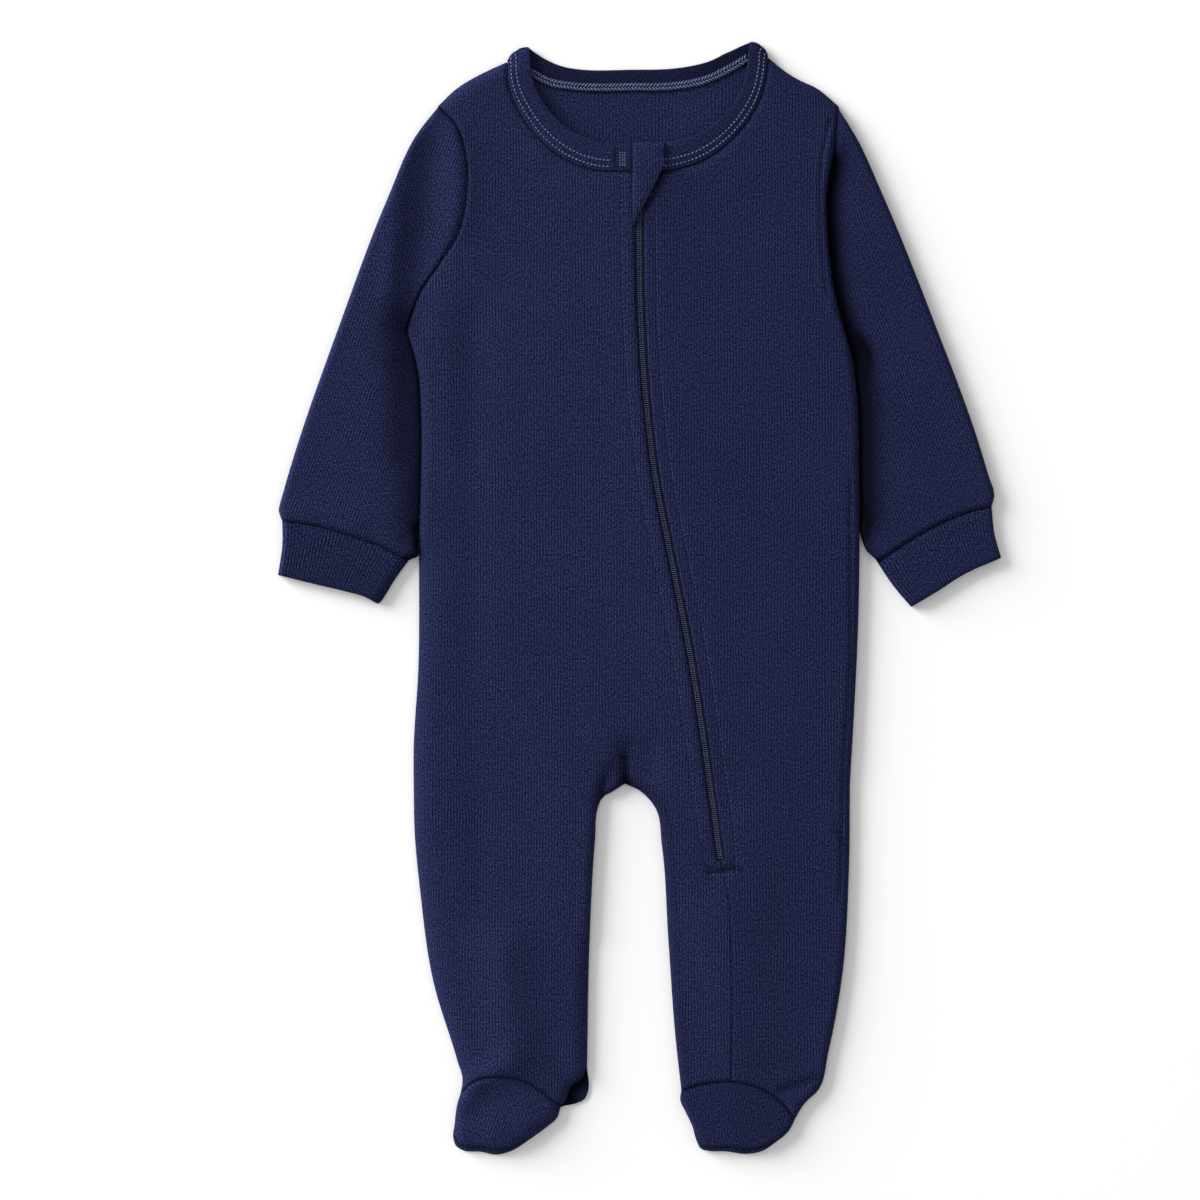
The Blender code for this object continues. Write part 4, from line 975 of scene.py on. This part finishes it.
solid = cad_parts["zip_tape"]
solid.data.materials.clear()
solid.data.materials.append(woven("zip_tape_weave", (0.022, 0.026, 0.062)))
coil_path = curve(ZIP, distances=np.linspace(0, length(ZIP) - COIL_SHORT, 400))
level = COIL_LEVEL - COIL_SINK * np.clip((-60.0 - coil_path[:, 1]) / 50.0, 0, 1)
rows = [stitches(np.c_[aside(coil_path, side), level], COIL_PITCH, (1.5, 0.4, 1.1), np.pi / 2)
        for side in (-1.0, 0.4)]
stitched("zip_coil_teeth", rows, enamel("zip_coil_nylon", (0.066, 0.077, 0.168)),
         node="zip_coil")
rings = [ribbon(np.array([(SLIDER_X, y) for y, _ in stations]), np.array(stations)[:, 1:], low,
                high) for stations, low, high in ((SLIDER, 4.2, 6.0), (PULL, 6.1, 7.1))]
piece("zip_slider_and_pull", weld(rings, [ring[..., :2] for ring in rings]),
      enamel("zip_slider_enamel", (0.012, 0.014, 0.040)),
      node="zip_slider")
rows = []
for line in (*stitch_lines, stitch_box):
    line = curve(line[::8] if len(line) > 2 else line, 300)
    rows.append(stitches(np.c_[line, top_form(line)[0] + 0.12], 2.6, (1.9, 0.6, 0.5)))
stitched("zip_topstitching", rows, thread("navy_thread", (0.034, 0.042, 0.115)))

# --- Zip guard --------------------------------------------------------------------------------
# A folded tab of the knit, sewn in behind the right front, that turns over the slider at the
# neck and tapers down beside the zip.

# y, left x, right x, underside z
GUARD = [(245.5, -4.6, 12.8, 3.6), (245.5, -4.8, 13.2, 5.8), (244.8, -5, 13.2, 7),
         (242, -5, 13, 7.4), (239, -5, 12.8, 7.5), (234.5, -5, 13.7, 7.5), (230, -4.9, 11.5, 7.5),
         (222.8, -4.8, 8.1, 7.4), (217, -4.6, 5.1, 7.3), (210.3, -4.2, 1.4, 7.1),
         (205.6, -3.9, -1.3, 6.4), (200.5, -3.4, -2.8, 5.6)]
# Sag of the guard across its width: share of the width, rise
GUARD_SAG = [(0, -1.9), (0.05, -1.1), (0.15, -0.2), (0.35, 0), (0.7, 0), (1, -0.4)]
GUARD_WALL = 1.35
GUARD_SHADE = 0.075  # share of the width over which its left edge lies in shade

table = np.array(GUARD)
spot = runs(table[:, [0, 3]])
fine = np.linspace(0, spot[-1], 70)
y, left, right, low = eased(read(table, spot, fine), 5).T[..., None]
share = np.linspace(0, 1, 33)
x = left + (right - left) * share
sag = np.interp(share, *np.array(GUARD_SAG).T)
# Painted shade along the left edge, where the guard goes in under the front
shade = np.exp(-(share / GUARD_SHADE) ** 4)
guard = piece("zip_guard_cloth",
              weld([stacked(x, y, low + sag + GUARD_WALL)], [stacked(x, fine[:, None], shade)]),
              knit("zip_guard_rib_knit"), node="zip_guard", wall=GUARD_WALL)

# --- Floor, light and camera ------------------------------------------------------------------
# A pale floor, broad soft light from the upper left and a level camera straight above.

FLOOR_HALF = 4
KEY_PLACE = (-10.0, 5.6, 2.9)
KEY_SIZE, KEY_POWER = 8.0, 3520.0
SKY_STRENGTH = 0.60
VIEW_CENTRE = (-0.0214, -0.0008)
VIEW_WIDTH = 0.648
CAMERA_HEIGHT = 2.2
SENSOR = 36.0

mesh = bpy.data.meshes.new("floor")
mesh.from_pydata([(x * FLOOR_HALF, y * FLOOR_HALF, 0)
                  for x, y in ((-1, -1), (1, -1), (1, 1), (-1, 1))], [], [(0, 1, 2, 3)])
look, shader, flow = surface("floor_paper", 0.9)
shader.inputs["Base Color"].default_value = (0.9, 0.9, 0.9, 1)
mesh.materials.append(look)
placed("floor", mesh)

# A square area light, turned to the middle of the floor
data = bpy.data.lights.new("key_light", "AREA")
data.size, data.energy = KEY_SIZE, KEY_POWER
light = placed("key_light", data)
light.location = KEY_PLACE
x, y, z = KEY_PLACE
light.rotation_euler = (0.0, -math.acos(z / math.hypot(x, y, z)), math.atan2(-y, -x))

world = bpy.data.worlds.new("studio")
bpy.context.scene.world = world
world.use_nodes = True
sky = world.node_tree.nodes["Background"].inputs
sky["Color"].default_value = (1, 1, 1, 1)
sky["Strength"].default_value = SKY_STRENGTH
bpy.context.scene.view_settings.view_transform = "Standard"

lens = bpy.data.cameras.new("camera")
lens.sensor_width = SENSOR
lens.lens = SENSOR * CAMERA_HEIGHT / VIEW_WIDTH
camera = placed("camera", lens)
camera.location = (*VIEW_CENTRE, CAMERA_HEIGHT)
bpy.context.scene.camera = camera
